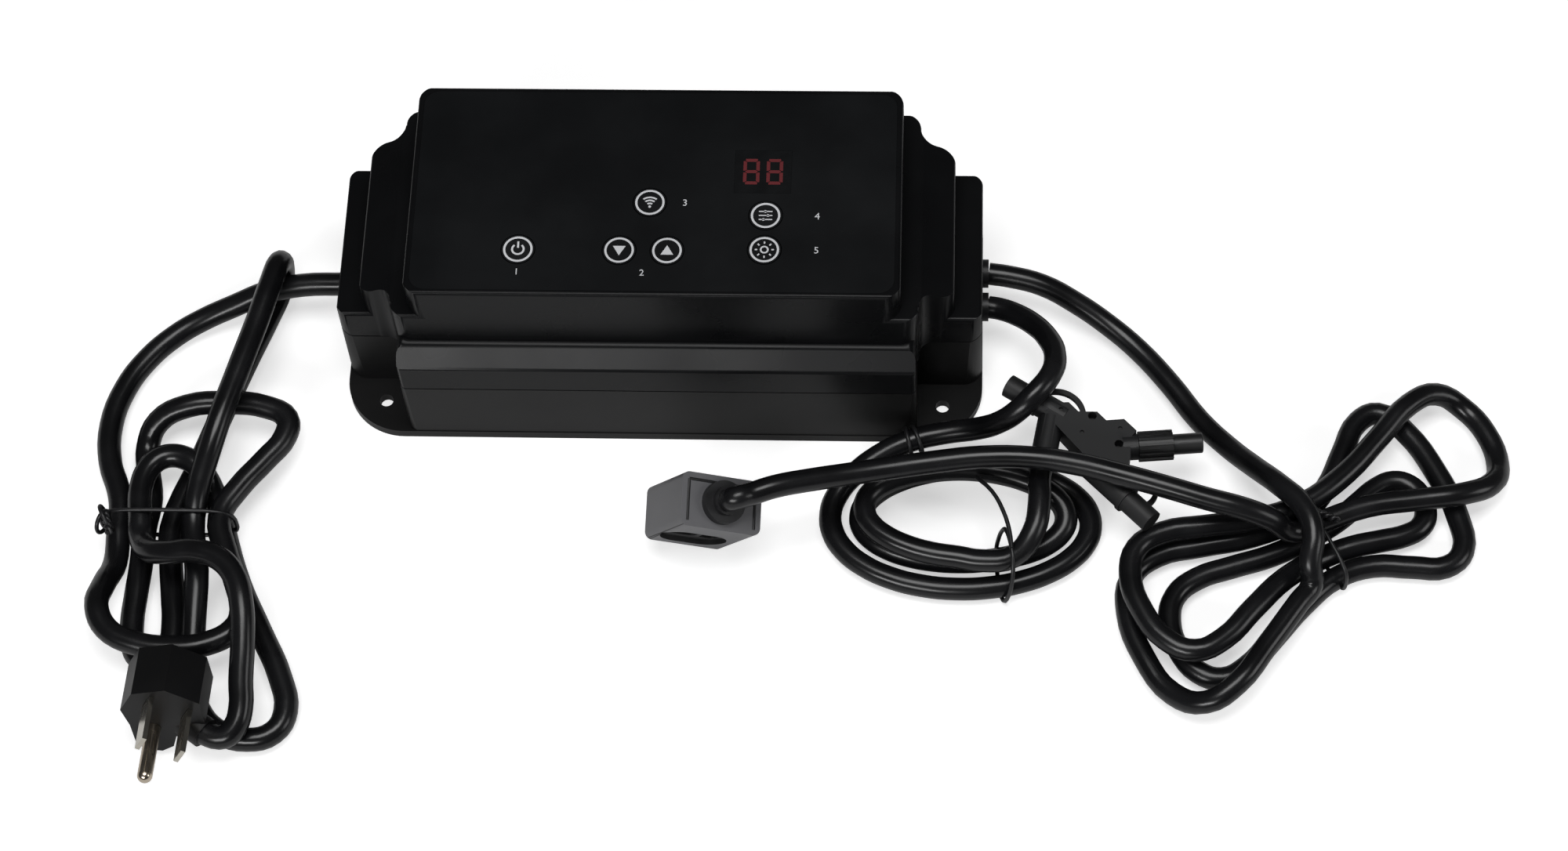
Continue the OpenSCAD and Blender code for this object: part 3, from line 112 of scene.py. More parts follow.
POWER_ROUTE = [
    (-EXIT_X, 0, EXIT_Z), (-121, 0, 16), (-133, -1.4, 13.6), (-144, -4.5, 10),
    (-155, -8.5, 7), (-164, -14, 5.4), (-172, -22.5, 5), (-178.3, -34, 5),
    (-181.4, -48, 5), (-180, -62, 5), (-176.2, -72, 5),
]
PLUG_ROUTE = [
    (-160.5, -100.6, 18.5), (-153, -103.5, 23), (-144, -104.5, 26.2), (-136, -107.5, 27),
    (-130.6, -113.5, 27), (-127.6, -122, 26.5), (-126.4, -134, 23), (-126.5, -146, 18.5),
    (-126.2, -153.5, 15.4), (-127.6, -159.2, 13.6), (-131, -162.4, 12.4),
]
BOOT_FROM = (-144.5, -156, 12.6)
BOOT_AIM = (8, -5.6, -0.6)
BOOT_L = 9
BOOT_HOLD = 4
OUTPUT_ROUTE = [
    (EXIT_X, -EXIT_Y, EXIT_Z), (110, -7.2, 17.2), (115.5, -10.2, 18.6),
    (120.8, -14.9, 20.6), (125.2, -21.5, 23.4), (127.6, -30.5, 26.8), (125.8, -39.3, 29.4),
    (120.3, -46.6, 29.2), (115.2, -50.3, 25.3), (109.4, -51.2, 19.4), (103.6, -50.8, 15),
]
LEAD_ROUTE = [
    (114.5, -97.6, 16), (120.5, -91, 19.8), (122.5, -81, 21.4), (122.6, -72, 20.8),
]
INLET_END = (124, -63.4, 20.4)
INLET_A = 80
SENSOR_ROUTE = [
    (EXIT_X, EXIT_Y, EXIT_Z), (113, 5.6, 16.6), (124, 3.4, 15), (135, -0.8, 11),
    (146, -7, 7), (156, -15.5, 5), (166, -28, 4.8), (175, -41.5, 5.2), (184, -53, 8),
    (192, -64, 14.5), (199, -73.5, 20.5), (205.5, -82, 23), (208.5, -91, 22.6),
    (207.5, -100, 18.6),
]
HEAD_ROUTE = [
    (195.6, -85.5, 20.4), (187, -84.4, 25), (175, -82, 27), (162, -78.6, 28.4),
    (148, -75, 29.4), (134, -72, 30.6), (120, -70.4, 31.4), (104, -70.4, 31.4),
    (90, -72, 31), (76, -74.6, 31.4), (62, -78, 33), (50, -81.6, 35.6),
    (39, -85.4, 38), (31.5, -88.4, 38.4),
]
# The sensor head's middle and axis, its height, and the collar and neck on top of it.
HEAD_MID = Vector((15.8, -85.2, 20.8))
HEAD_AXIS = Vector((0.485, -0.24, 0.843)).normalized()
HEAD_H = 26.8
HEAD_OUT = 5.0


def sin(a):
    return math.sin(math.radians(a))


def cos(a):
    return math.cos(math.radians(a))


def ease(t):
    u = min(1, max(0, t))
    return u * u * (3 - 2 * u)


def half_turn(row, waist, axis, pitch, low, start):
    """Points of one half turn of a squeezed coil, in mm."""
    (lane_a, lane_b, layer_a, layer_b, reach, bulge, bow, lift_a, lift_b, lift_from, lift_to,
     swap_mid, swap_half, way) = row
    a, b = lane_a * pitch, lane_b * pitch
    za, zb = low + layer_a * pitch, low + layer_b * pitch
    side = 1 if a >= b else -1
    along = Vector((cos(axis), sin(axis)))
    across = Vector((sin(axis), -cos(axis)))
    points = []
    t = start
    while t <= 180.001:
        s, c = sin(t), cos(t)
        u = (a + b) / 2 + (a - b) / 2 * c + bow * s
        u += side * BULGE_SHARE * bulge * s * sin(2 * t)
        rise = ease((s - lift_from) / (lift_to - lift_from))
        z0 = za + lift_a * rise
        z1 = zb + lift_b * rise
        turn = min(1, max(-1, (t - swap_mid) / swap_half))
        p = Vector(waist) + way * reach * s * along + u * across
        points.append(Vector((p.x, p.y, (z0 + z1) / 2 + (z1 - z0) / 2 * sin(90 * turn))))
        t += 180 / HALF_RINGS
    return points


def coil_points(rows, waist, axis, pitch, low, start):
    """Points of a whole squeezed coil, in mm."""
    points = []
    for i, row in enumerate(rows):
        points += half_turn(row, waist, axis, pitch, low, start if i == 0 else 180 / HALF_RINGS)
    return points


def oval_points():
    """Points of the oval coil: down, in on the floor, up, and out again on top."""
    points = []
    low = SIGNAL_D / 2 + CORD_LIFT
    for t in range(-OVAL_LEAD, OVAL_IN + OVAL_CLIMB + OVAL_OUT + 1, OVAL_STEP):
        cut = OVAL_PITCH * (min(t, OVAL_IN) - max(0, t - OVAL_IN - OVAL_CLIMB)) / 360
        a = OVAL_START + t
        drop = 1 - ease((t + OVAL_LEAD) / OVAL_DROP_TURN)
        climb = ease((t - OVAL_IN) / OVAL_CLIMB)
        points.append(Vector((
            OVAL_MID[0] + (OVAL_RX - cut) * cos(a),
            OVAL_MID[1] + (OVAL_RY - cut) * sin(a),
            low + drop * OVAL_DROP + climb * OVAL_PITCH,
        )))
    return points


def with_ends(points, d):
    """The points with a straight end, one diameter long, before and after them."""
    first = points[0] + d * (points[0] - points[1]).normalized()
    last = points[-1] + d * (points[-1] - points[-2]).normalized()
    return [first] + points + [last]


HANK = with_ends(coil_points(HANK_ROWS, HANK_WAIST, HANK_AXIS, POWER_D + PITCH_GAP,
                             POWER_D / 2 + CORD_LIFT, HANK_START), POWER_D)
BOW = with_ends(coil_points(BOW_ROWS, BOW_WAIST, BOW_AXIS, SIGNAL_D + PITCH_GAP,
                            SIGNAL_D / 2 + CORD_LIFT, BOW_START), SIGNAL_D)
OVAL = with_ends(oval_points(), SIGNAL_D)
BOOT_WAY = Vector(BOOT_AIM).normalized()
BOOT_END = Vector(BOOT_FROM) + BOOT_L * BOOT_WAY
INLET_WAY = Vector((cos(INLET_A), sin(INLET_A), 0))
HEAD_END = HEAD_MID + (HEAD_H / 2 + HEAD_OUT) * HEAD_AXIS


# Settings

def colour_prop(name, text, value):
    return bpy.props.FloatVectorProperty(
        name=name, description=text, default=value, size=3, min=0, max=1, subtype="COLOR")


def length_prop(name, text, value, least):
    return bpy.props.FloatProperty(
        name=name, description=text, default=value, min=least, unit="LENGTH")


def power_prop(name, text, value):
    return bpy.props.FloatProperty(
        name=name, description=text, default=value, min=0, unit="POWER")


class CordSettings(bpy.types.PropertyGroup):
    jacket: colour_prop("Jacket colour", "Colour of the cords' jackets", (0.0058, 0.0059, 0.0066))
    gloss: bpy.props.FloatProperty(
        name="Jacket roughness", description="How dull the cords' jackets are",
        default=0.25, min=0, max=1, subtype="FACTOR")
    power_length: length_prop("Power cord length", "Length of the power cord", 1.065, 0.1)
    output_length: length_prop("Output cord length", "Length of the output cord", 0.587, 0.1)
    sensor_length: length_prop("Sensor cord length", "Length of the sensor cord", 1.253, 0.1)


class CaseSettings(bpy.types.PropertyGroup):
    base: colour_prop("Base colour", "Colour of the case's base", (0.0075, 0.0075, 0.0077))
    cover: colour_prop("Cover colour", "Colour of the stepped cover", (0.0045, 0.0047, 0.0052))
    grain: length_prop("Grain", "Size of the moulded grain", 0.0006, 0.0001)
    screw: colour_prop("Screw colour", "Colour of the plated screws", (0.45, 0.45, 0.46))


class PanelSettings(bpy.types.PropertyGroup):
    film: colour_prop("Film colour", "Colour of the panel's printed film", (0.0028, 0.0033, 0.0040))
    ink: colour_prop("Ink colour", "Colour of the printed marks", (0.62, 0.63, 0.65))
    segment: colour_prop("Segment colour", "Colour of the display's segments", (0.1, 0.003, 0.006))
    ring_r: length_prop("Ring radius",
                        "Outer radius of the ring round each key's sign", 0.00465, 0.001)
    stroke: length_prop("Stroke", "Width of the printed lines", 0.0007, 0.0001)
    ink_t: length_prop("Ink thickness", "Thickness of the printed marks", 0.00004, 0.00001)


class PlugSettings(bpy.types.PropertyGroup):
    body: colour_prop("Plug colour", "Colour of the plug's moulding", (0.0038, 0.0038, 0.0042))
    blade: colour_prop("Blade colour", "Colour of the plated blades", (0.60, 0.57, 0.50))
    edge: length_prop("Edge radius", "Radius of the plug's rounded edges", 0.0014, 0.0001)


class SensorSettings(bpy.types.PropertyGroup):
    head: colour_prop("Head colour", "Colour of the sensor head", (0.1, 0.1, 0.106))
    box: colour_prop("Connector box colour", "Colour of the connector box", (0.007, 0.0073, 0.008))
    edge: length_prop("Edge radius", "Radius of the head's rounded edges", 0.0008, 0.0001)


class TieSettings(bpy.types.PropertyGroup):
    colour: colour_prop("Tie colour", "Colour of the wire ties", (0.008, 0.008, 0.009))
    wire_r: length_prop("Wire radius", "Radius of the tie's coated wire", 0.0007, 0.0001)


class StageSettings(bpy.types.PropertyGroup):
    floor: colour_prop("Floor colour", "Colour of the floor", (0.80, 0.80, 0.80))
    key_power: power_prop("Key light", "Power of the large front light", 10.0)
    top_power: power_prop("Top light", "Power of the overhead light", 12.0)
    side_power: power_prop("Side light", "Power of the right side light", 2.5)


# Materials

def new_material(name):
    material = bpy.data.materials.new(name)
    material.use_nodes = True
    tree = material.node_tree
    tree.nodes.clear()
    out = tree.nodes.new("ShaderNodeOutputMaterial")
    shader = tree.nodes.new("ShaderNodeBsdfPrincipled")
    tree.links.new(shader.outputs["BSDF"], out.inputs["Surface"])
    return material, tree, shader


def noise(tree, scale, detail=2.0, stretch=None):
    """A noise texture in the piece's own coordinates."""
    place = tree.nodes.new("ShaderNodeTexCoord")
    texture = tree.nodes.new("ShaderNodeTexNoise")
    texture.inputs["Scale"].default_value = scale
    texture.inputs["Detail"].default_value = detail
    if stretch:
        mapping = tree.nodes.new("ShaderNodeMapping")
        mapping.inputs["Scale"].default_value = stretch
        tree.links.new(place.outputs["Object"], mapping.inputs["Vector"])
        tree.links.new(mapping.outputs["Vector"], texture.inputs["Vector"])
    else:
        tree.links.new(place.outputs["Object"], texture.inputs["Vector"])
    return texture.outputs["Fac"]


def colour_by(tree, shader, source, low, high, start=0.35, end=0.65):
    """The shader's colour runs from low to high with the source."""
    node = tree.nodes.new("ShaderNodeValToRGB")
    node.color_ramp.elements[0].position = start
    node.color_ramp.elements[0].color = (*low, 1)
    node.color_ramp.elements[1].position = end
    node.color_ramp.elements[1].color = (*high, 1)
    tree.links.new(source, node.inputs["Fac"])
    tree.links.new(node.outputs["Color"], shader.inputs["Base Color"])


def gloss_by(tree, shader, source, low, high):
    """The shader's roughness runs from low to high with the source."""
    node = tree.nodes.new("ShaderNodeMapRange")
    node.inputs["From Min"].default_value = 0.3
    node.inputs["From Max"].default_value = 0.7
    node.inputs["To Min"].default_value = low
    node.inputs["To Max"].default_value = high
    tree.links.new(source, node.inputs["Value"])
    tree.links.new(node.outputs["Result"], shader.inputs["Roughness"])


def bump(tree, shader, source, height, strength):
    node = tree.nodes.new("ShaderNodeBump")
    node.inputs["Distance"].default_value = height
    node.inputs["Strength"].default_value = strength
    tree.links.new(source, node.inputs["Height"])
    tree.links.new(node.outputs["Normal"], shader.inputs["Normal"])


def moulded(name, colour, rough, grain=0.0006, depth=0.00002, strength=0.25, vary=0.15,
            specular=0.5):
    """Moulded plastic or rubber: faint cloudy colour, fine grain and uneven gloss."""
    material, tree, shader = new_material(name)
    cloud = noise(tree, 35, 3)
    fine = noise(tree, 1 / grain, 2)
    low = tuple(c * (1 - vary) for c in colour)
    high = tuple(min(1, c * (1 + vary)) for c in colour)
    colour_by(tree, shader, cloud, low, high)
    gloss_by(tree, shader, cloud, rough * 0.9, min(1, rough * 1.12))
    shader.inputs["Specular IOR Level"].default_value = specular
    bump(tree, shader, fine, depth, strength)
    return material


def metal(name, colour, rough, scale=900, stretch=(1, 1, 12)):
    """Plated or drawn metal with faint lines and uneven polish."""
    material, tree, shader = new_material(name)
    lines = noise(tree, scale, 2, stretch)
    low = tuple(c * 0.93 for c in colour)
    colour_by(tree, shader, lines, low, colour)
    gloss_by(tree, shader, lines, rough * 0.8, rough * 1.3)
    shader.inputs["Metallic"].default_value = 1
    bump(tree, shader, lines, 0.000002, 0.03)
    return material


def cord_jacket(name, colour, rough):
    """Smooth vinyl jacket, a little dusty, with a faint drawn texture."""
    material, tree, shader = new_material(name)
    cloud = noise(tree, 60, 3)
    fine = noise(tree, 1400, 2)
    low = tuple(c * 0.8 for c in colour)
    high = tuple(c * 1.35 for c in colour)
    colour_by(tree, shader, cloud, low, high)
    gloss_by(tree, shader, cloud, rough * 0.85, rough * 1.2)
    shader.inputs["Specular IOR Level"].default_value = 0.38
    bump(tree, shader, fine, 0.000002, 0.02)
    return material


def tinted_pane(name):
    """Dark filter pane, as black as the film round it."""
    material, tree, shader = new_material(name)
    cloud = noise(tree, 200, 2)
    colour_by(tree, shader, cloud, (0.0024, 0.0028, 0.0034), (0.003, 0.0035, 0.0042))
    gloss_by(tree, shader, cloud, 0.25, 0.29)
    return material


def laminate(name, colour):
    """Circuit board with the faint lines of its tracks under the mask."""
    material, tree, shader = new_material(name)
    tracks = noise(tree, 260, 1, (1, 3, 1))
    low = tuple(c * 0.7 for c in colour)
    colour_by(tree, shader, tracks, low, colour, 0.48, 0.52)
    gloss_by(tree, shader, tracks, 0.3, 0.45)
    bump(tree, shader, tracks, 0.00003, 0.3)
    return material


def dress(node, material):
    """Gives a CAD node's object a material of this scene."""
    mesh = NODES[node].data
    if not mesh.materials:
        mesh.materials.append(material)
    for i in range(len(mesh.materials)):
        mesh.materials[i] = material


# Modelling helpers

# Faces within this angle, in degrees, count as one flat face.
FLAT_ANGLE = 1
# Points nearer to each other than this, in metres, are merged.
MERGE_DISTANCE = 0.00001
RING_MERGE_DISTANCE = 0.000002


def deselect():
    if bpy.context.object and bpy.context.object.mode != "OBJECT":
        bpy.ops.object.mode_set(mode="OBJECT")
    for o in list(bpy.context.selected_objects):
        o.select_set(False)


def take(piece):
    """Selects one piece alone and makes it active."""
    deselect()
    piece.select_set(True)
    bpy.context.view_layer.objects.active = piece


def named(name):
    piece = bpy.context.object
    piece.name = name
    piece.data.name = name
    return piece


def apply_place(piece):
    take(piece)
    bpy.ops.object.transform_apply(location=True, rotation=True, scale=True)


def apply_modifiers(piece):
    take(piece)
    for modifier in list(piece.modifiers):
        bpy.ops.object.modifier_apply(modifier=modifier.name)


def join(name, pieces):
    """Joins pieces into one."""
    deselect()
    for piece in pieces:
        piece.select_set(True)
    bpy.context.view_layer.objects.active = pieces[0]
    if len(pieces) > 1:
        bpy.ops.object.join()
    return named(name)


def settle(piece, body, slot, material=None):
    """Ends a piece: its place goes into its mesh, and it rides on its body."""
    apply_place(piece)
    if material:
        piece.data.materials.clear()
        piece.data.materials.append(material)
    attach(piece, body)
    return piece


def smooth(piece, angle=35, even=False):
    """Smooth shading below an angle; even keeps the large faces flat beside it."""
    take(piece)
    bpy.ops.object.shade_smooth_by_angle(angle=math.radians(angle))
    if even:
        modifier = piece.modifiers.new("flat faces", "WEIGHTED_NORMAL")
        modifier.weight = 100
        modifier.keep_sharp = True
        apply_modifiers(piece)


def solid_copy(node, name):
    """A merged copy of a CAD node's mesh with its flat faces whole again."""
    piece = NODES[node].copy()
    piece.data = NODES[node].data.copy()
    piece.parent = None
    for key in [k for k in piece.keys() if k.startswith("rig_")]:
        del piece[key]
    bpy.context.scene.collection.objects.link(piece)
    take(piece)
    named(name)
    bpy.ops.object.mode_set(mode="EDIT")
    bpy.ops.mesh.select_all(action="SELECT")
    bpy.ops.mesh.remove_doubles(threshold=MERGE_DISTANCE)
    bpy.ops.mesh.dissolve_limited(angle_limit=math.radians(FLAT_ANGLE))
    bpy.ops.mesh.normals_make_consistent(inside=False)
    bpy.ops.object.mode_set(mode="OBJECT")
    return piece


def bevelled(piece, width, segments=3, angle=30):
    modifier = piece.modifiers.new("edges", "BEVEL")
    modifier.width = width
    modifier.segments = segments
    modifier.limit_method = "ANGLE"
    modifier.angle_limit = math.radians(angle)
    apply_modifiers(piece)


def centre_line(name, points, diameter, material, resolution=4, cyclic=False, sides=5):
    """A round strand whose centre runs smoothly through the points, given in mm."""
    curve = bpy.data.curves.new(name, "CURVE")
    curve.dimensions = "3D"
    curve.resolution_u = resolution
    curve.bevel_depth = diameter * MM / 2
    curve.bevel_resolution = sides
    curve.use_fill_caps = not cyclic
    spline = curve.splines.new("BEZIER")
    spline.bezier_points.add(len(points) - 1)
    for knot, p in zip(spline.bezier_points, points):
        knot.co = Vector(p) * MM
        knot.handle_left_type = knot.handle_right_type = "AUTO"
    spline.use_cyclic_u = cyclic
    piece = bpy.data.objects.new(name, curve)
    bpy.context.scene.collection.objects.link(piece)
    curve.materials.append(material)
    return piece


def strand_mesh(name, strands, diameter, material):
    """Several strands as one mesh. Each is a list of points in mm and its closed state."""
    pieces = []
    for points, closed in strands:
        piece = centre_line(name, points, diameter, material, resolution=3, cyclic=closed, sides=3)
        take(piece)
        bpy.ops.object.convert(target="MESH")
        pieces.append(bpy.context.object)
    return join(name, pieces)


# Printed signs

def flat_ring(outer, inner, height, z, start=0, turn=360, steps=48):
    """A printed ring or arc: one edge spun round the middle, then made thick."""
    deselect()
    bpy.ops.mesh.primitive_plane_add(size=1, location=(0, 0, 0))
    piece = bpy.context.object
    bpy.ops.object.mode_set(mode="EDIT")
    mesh = bmesh.from_edit_mesh(piece.data)
    mesh.verts.ensure_lookup_table()
    for v in mesh.verts:
        v.select = False
    for i, r in enumerate((inner, outer)):
        mesh.verts[i].co = Vector((r * cos(start), r * sin(start), z))
    spare = [mesh.verts[i] for i in (2, 3)]
    bmesh.ops.delete(mesh, geom=spare, context="VERTS")
    for v in mesh.verts:
        v.select = True
    mesh.select_flush(True)
    bmesh.update_edit_mesh(piece.data)
    bpy.ops.mesh.spin(steps=steps, angle=-math.radians(turn), center=(0, 0, 0), axis=(0, 0, 1))
    bpy.ops.mesh.select_all(action="SELECT")
    bpy.ops.mesh.remove_doubles(threshold=RING_MERGE_DISTANCE)
    bpy.ops.mesh.normals_make_consistent(inside=False)
    bpy.ops.mesh.extrude_region_move(TRANSFORM_OT_translate={"value": (0, 0, height)})
    bpy.ops.mesh.select_all(action="SELECT")
    bpy.ops.mesh.normals_make_consistent(inside=False)
    bpy.ops.object.mode_set(mode="OBJECT")
    return piece


def flat_bar(length, width, height, z, x=0, y=0, a=0, chamfer=0.0):
    """A printed bar with softened ends."""
    deselect()
    bpy.ops.mesh.primitive_cube_add(size=1, location=(0, 0, 0))
    piece = bpy.context.object
    piece.scale = (length, width, height)
    bpy.ops.object.transform_apply(location=True, rotation=True, scale=True)
    if chamfer:
        bpy.ops.object.mode_set(mode="EDIT")
        mesh = bmesh.from_edit_mesh(piece.data)
        for e in mesh.edges:
            a0, a1 = (v.co for v in e.verts)
            e.select = abs((a1 - a0).z) > height / 2
        bmesh.update_edit_mesh(piece.data)
        bpy.ops.mesh.bevel(offset=chamfer, segments=2)
        bpy.ops.object.mode_set(mode="OBJECT")
    piece.rotation_euler = (0, 0, math.radians(a))
    piece.location = (x, y, z + height / 2)
    apply_place(piece)
    return piece


def flat_disc(radius, height, z, x=0, y=0, sides=32, a=0):
    """A printed disc, or a triangle with three sides."""
    deselect()
    bpy.ops.mesh.primitive_cylinder_add(vertices=sides, radius=radius, depth=height,
                                        location=(0, 0, 0))
    piece = bpy.context.object
    piece.rotation_euler = (0, 0, math.radians(a))
    piece.location = (x, y, z + height / 2)
    apply_place(piece)
    return piece


def moved(piece, x, y):
    piece.location = (x, y, 0)
    apply_place(piece)
    return piece


def plain_number(text, x, y, z, size, height):
    """A printed number, made a mesh before it is placed."""
    deselect()
    bpy.ops.object.text_add(location=(0, 0, 0))
    piece = bpy.context.object
    piece.data.body = text
    piece.data.align_x = "CENTER"
    piece.data.align_y = "CENTER"
    piece.data.size = size
    piece.data.extrude = height / 2
    piece.data.resolution_u = 3
    bpy.ops.object.convert(target="MESH")
    piece = bpy.context.object
    piece.location = (x, y, z + height / 2)
    apply_place(piece)
    return piece


# Camera, floor and lights

# The camera's place is in mm, and so are its lens and its sensor.
CAMERA_AT = Vector((89.3, -633.4, 1064.4))
CAMERA_RIGHT = Vector((0.9991, 0.02962, -0.03021))
CAMERA_UP = Vector((-0.01122, 0.87397, 0.48585))
CAMERA_AHEAD = Vector((-0.04079, 0.48507, -0.87352))
CAMERA_LENS = 85.24
CAMERA_SENSOR = 36
FLOOR_SIZE = 6
# The floor's glow: two distances from the middle, in metres, and its strength at each.
FLOOR_GLOW = (("From Min", 0.7), ("From Max", 2), ("To Min", 0.56), ("To Max", 1.05))
WORLD_DIM = 0.05
# Each light's name, place, aim, width and depth in metres, and the setting of its power.
LIGHTS = (
    ("key_light", (-0.46, -1.33, 0.83), (-0.05, -0.05, 0.03), 0.85, 0.26, "key_power"),
    ("top_light", (0.05, -0.15, 1.5), (0, -0.03, 0), 0.9, 0.6, "top_power"),
    ("side_light", (1.25, -0.35, 0.6), (0.1, -0.05, 0.03), 0.5, 0.5, "side_power"),
)


def put_camera():
    """Camera in front of the case, high above it and looking down."""
    turn = Matrix((CAMERA_RIGHT, CAMERA_UP, -CAMERA_AHEAD)).transposed().to_4x4()
    data = bpy.data.cameras.new("camera")
    data.sensor_width = CAMERA_SENSOR
    data.sensor_fit = "HORIZONTAL"
    data.lens = CAMERA_LENS
    camera = bpy.data.objects.new("camera", data)
    camera.matrix_world = Matrix.Translation(CAMERA_AT * MM) @ turn
    bpy.context.scene.collection.objects.link(camera)
    bpy.context.scene.camera = camera


def put_light(name, place, aim, width, depth, power):
    data = bpy.data.lights.new(name, "AREA")
    data.shape = "RECTANGLE"
    data.size = width
    data.size_y = depth
    data.energy = power
    light = bpy.data.objects.new(name, data)
    light.location = place
    light.rotation_euler = (Vector(aim) - Vector(place)).to_track_quat("-Z", "Y").to_euler()
    bpy.context.scene.collection.objects.link(light)


def floor_material(colour):
    """Pale floor that keeps the shadows and is lifted to white for the camera."""
    material, tree, shader = new_material("floor_paper")
    shader.inputs["Roughness"].default_value = 0.9
    shader.inputs["Specular IOR Level"].default_value = 0.1
    cloud = noise(tree, 4, 2)
    low = tuple(c * 0.985 for c in colour)
    colour_by(tree, shader, cloud, low, colour)
    path = tree.nodes.new("ShaderNodeLightPath")
    glow = tree.nodes.new("ShaderNodeEmission")
    glow.inputs["Color"].default_value = (1, 1, 1, 1)
    place = tree.nodes.new("ShaderNodeTexCoord")
    away = tree.nodes.new("ShaderNodeVectorMath")
    away.operation = "LENGTH"
    lift = tree.nodes.new("ShaderNodeMapRange")
    for name, value in FLOOR_GLOW:
        lift.inputs[name].default_value = value
    tree.links.new(place.outputs["Object"], away.inputs[0])
    tree.links.new(away.outputs["Value"], lift.inputs["Value"])
    tree.links.new(lift.outputs["Result"], glow.inputs["Strength"])
    both = tree.nodes.new("ShaderNodeAddShader")
    pick = tree.nodes.new("ShaderNodeMixShader")
    tree.links.new(shader.outputs["BSDF"], both.inputs[0])
    tree.links.new(glow.outputs["Emission"], both.inputs[1])
    tree.links.new(path.outputs["Is Camera Ray"], pick.inputs["Fac"])
    tree.links.new(shader.outputs["BSDF"], pick.inputs[1])
    tree.links.new(both.outputs["Shader"], pick.inputs[2])
    out = next(n for n in tree.nodes if n.type == "OUTPUT_MATERIAL")
    tree.links.new(pick.outputs["Shader"], out.inputs["Surface"])
    return material


def white_world():
    """White behind everything for the camera, dim grey light for the rest."""
    world = bpy.data.worlds.new("studio")
    bpy.context.scene.world = world
    world.use_nodes = True
    tree = world.node_tree
    tree.nodes.clear()
    out = tree.nodes.new("ShaderNodeOutputWorld")
    path = tree.nodes.new("ShaderNodeLightPath")
    seen = tree.nodes.new("ShaderNodeBackground")
    seen.inputs["Strength"].default_value = 1
    seen.inputs["Color"].default_value = (1, 1, 1, 1)
    dim = tree.nodes.new("ShaderNodeBackground")
    dim.inputs["Color"].default_value = (1, 1, 1, 1)
    dim.inputs["Strength"].default_value = WORLD_DIM
    pick = tree.nodes.new("ShaderNodeMixShader")
    tree.links.new(path.outputs["Is Camera Ray"], pick.inputs["Fac"])
    tree.links.new(dim.outputs["Background"], pick.inputs[1])
    tree.links.new(seen.outputs["Background"], pick.inputs[2])
    tree.links.new(pick.outputs["Shader"], out.inputs["Surface"])


class SUPPLY_OT_stage(bpy.types.Operator):
    """Sets up the floor, the lights and the camera"""
    bl_idname = "supply.stage"
    bl_label = "Stage"

    def execute(self, context):
        s = context.scene.supply_stage
        context.scene.view_settings.view_transform = "Standard"
        put_camera()
        white_world()
        deselect()
        bpy.ops.mesh.primitive_plane_add(size=FLOOR_SIZE, location=(0, 0, 0))
        floor = named("floor")
        floor.data.materials.append(floor_material(s.floor))
        for name, place, aim, width, depth, power in LIGHTS:
            put_light(name, place, aim, width, depth, getattr(s, power))
        return {"FINISHED"}


class SUPPLY_OT_cords(bpy.types.Operator):
    """Lays the power, output and sensor cords along their routes"""
    bl_idname = "supply.cords"
    bl_label = "Cords"

    def execute(self, context):
        s = context.scene.supply_cords
        jacket = cord_jacket("cord_jacket", s.jacket, s.gloss)
        routes = (
            ("power_cord_run", POWER_ROUTE + HANK + PLUG_ROUTE
             + [BOOT_END, BOOT_END - BOOT_HOLD * BOOT_WAY], POWER_D,
             ("power_cord", "power_hank", "plug_lead")),
            ("output_cord_run", OUTPUT_ROUTE + OVAL[1:] + LEAD_ROUTE
             + [Vector(INLET_END) - SIGNAL_D / 2 * INLET_WAY, Vector(INLET_END)], SIGNAL_D,
             ("output_cord", "output_coil", "output_lead")),
            ("sensor_cord_run", SENSOR_ROUTE + BOW + HEAD_ROUTE
             + [HEAD_END + SIGNAL_D / 2 * HEAD_AXIS, HEAD_END], SIGNAL_D,
             ("sensor_cord", "sensor_coil", "sensor_lead")),
        )
        for name, points, diameter, nodes in routes:
            piece = centre_line(name, points, diameter, jacket)
            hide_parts(*nodes)
            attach(piece, CASE)
        return {"FINISHED"}


# Wire ties

# Lengths are in mm. WRAP_SQUARENESS, TWIST_WIDTH and the values named AT are shares.
TIE_INSET = 0.45
TIE_UNDER = 0.1
TIE_RISE = 0.6
WRAP_STEPS = 24
WRAP_SQUARENESS = 0.55
TWIST_L = 9
TWIST_PITCH = 4.2
TWIST_WIDTH = 0.95
TWIST_STEPS = 22
POWER_TIE_OVER = 0.9
POWER_TWIST_IN = 3
POWER_TWIST_DOWN = 1
POWER_TWIST_WAY = (0.3, -1, 0.12)
# Each loop's place from the start of the twist, its direction and its radius.
POWER_LOOPS = (((0.5, -2, -1.2), (1, 0.5, 0.2), 4.4), ((-0.6, -3, -1.6), (1, -0.4, 0.1), 3.6))
SENSOR_TIE_OVER = 0.75
SENSOR_TIE_SPARE = 0.55
SENSOR_TWIST_AT = 0.4
SENSOR_TWIST_WAY = (0.9, -0.45, 0.1)
RING_GAP = 0.6
SLANT_RING_GAP = 0.75
SLANT_RING_AT = 0.25
SLANT_RING_WAY = (1, 0.4, 0.1)
COIL_TIE = [
    (110.8, -87.4, 13.5), (112, -90, 19), (113.4, -95, 19.8), (114.2, -101, 18.4),
    (113.9, -105.8, 12.6), (113, -107.2, 7), (111.5, -106.2, 1.7), (110.2, -101, 0.9),
    (109.4, -94, 0.9), (109.2, -88.4, 1.6), (109.8, -87, 7),
]
COIL_TIE_END = [
    (113.7, -97, 20.5), (113, -91, 20.8), (111, -84, 21), (107.4, -76.5, 20.2),
    (102.5, -70.5, 18.2),
]


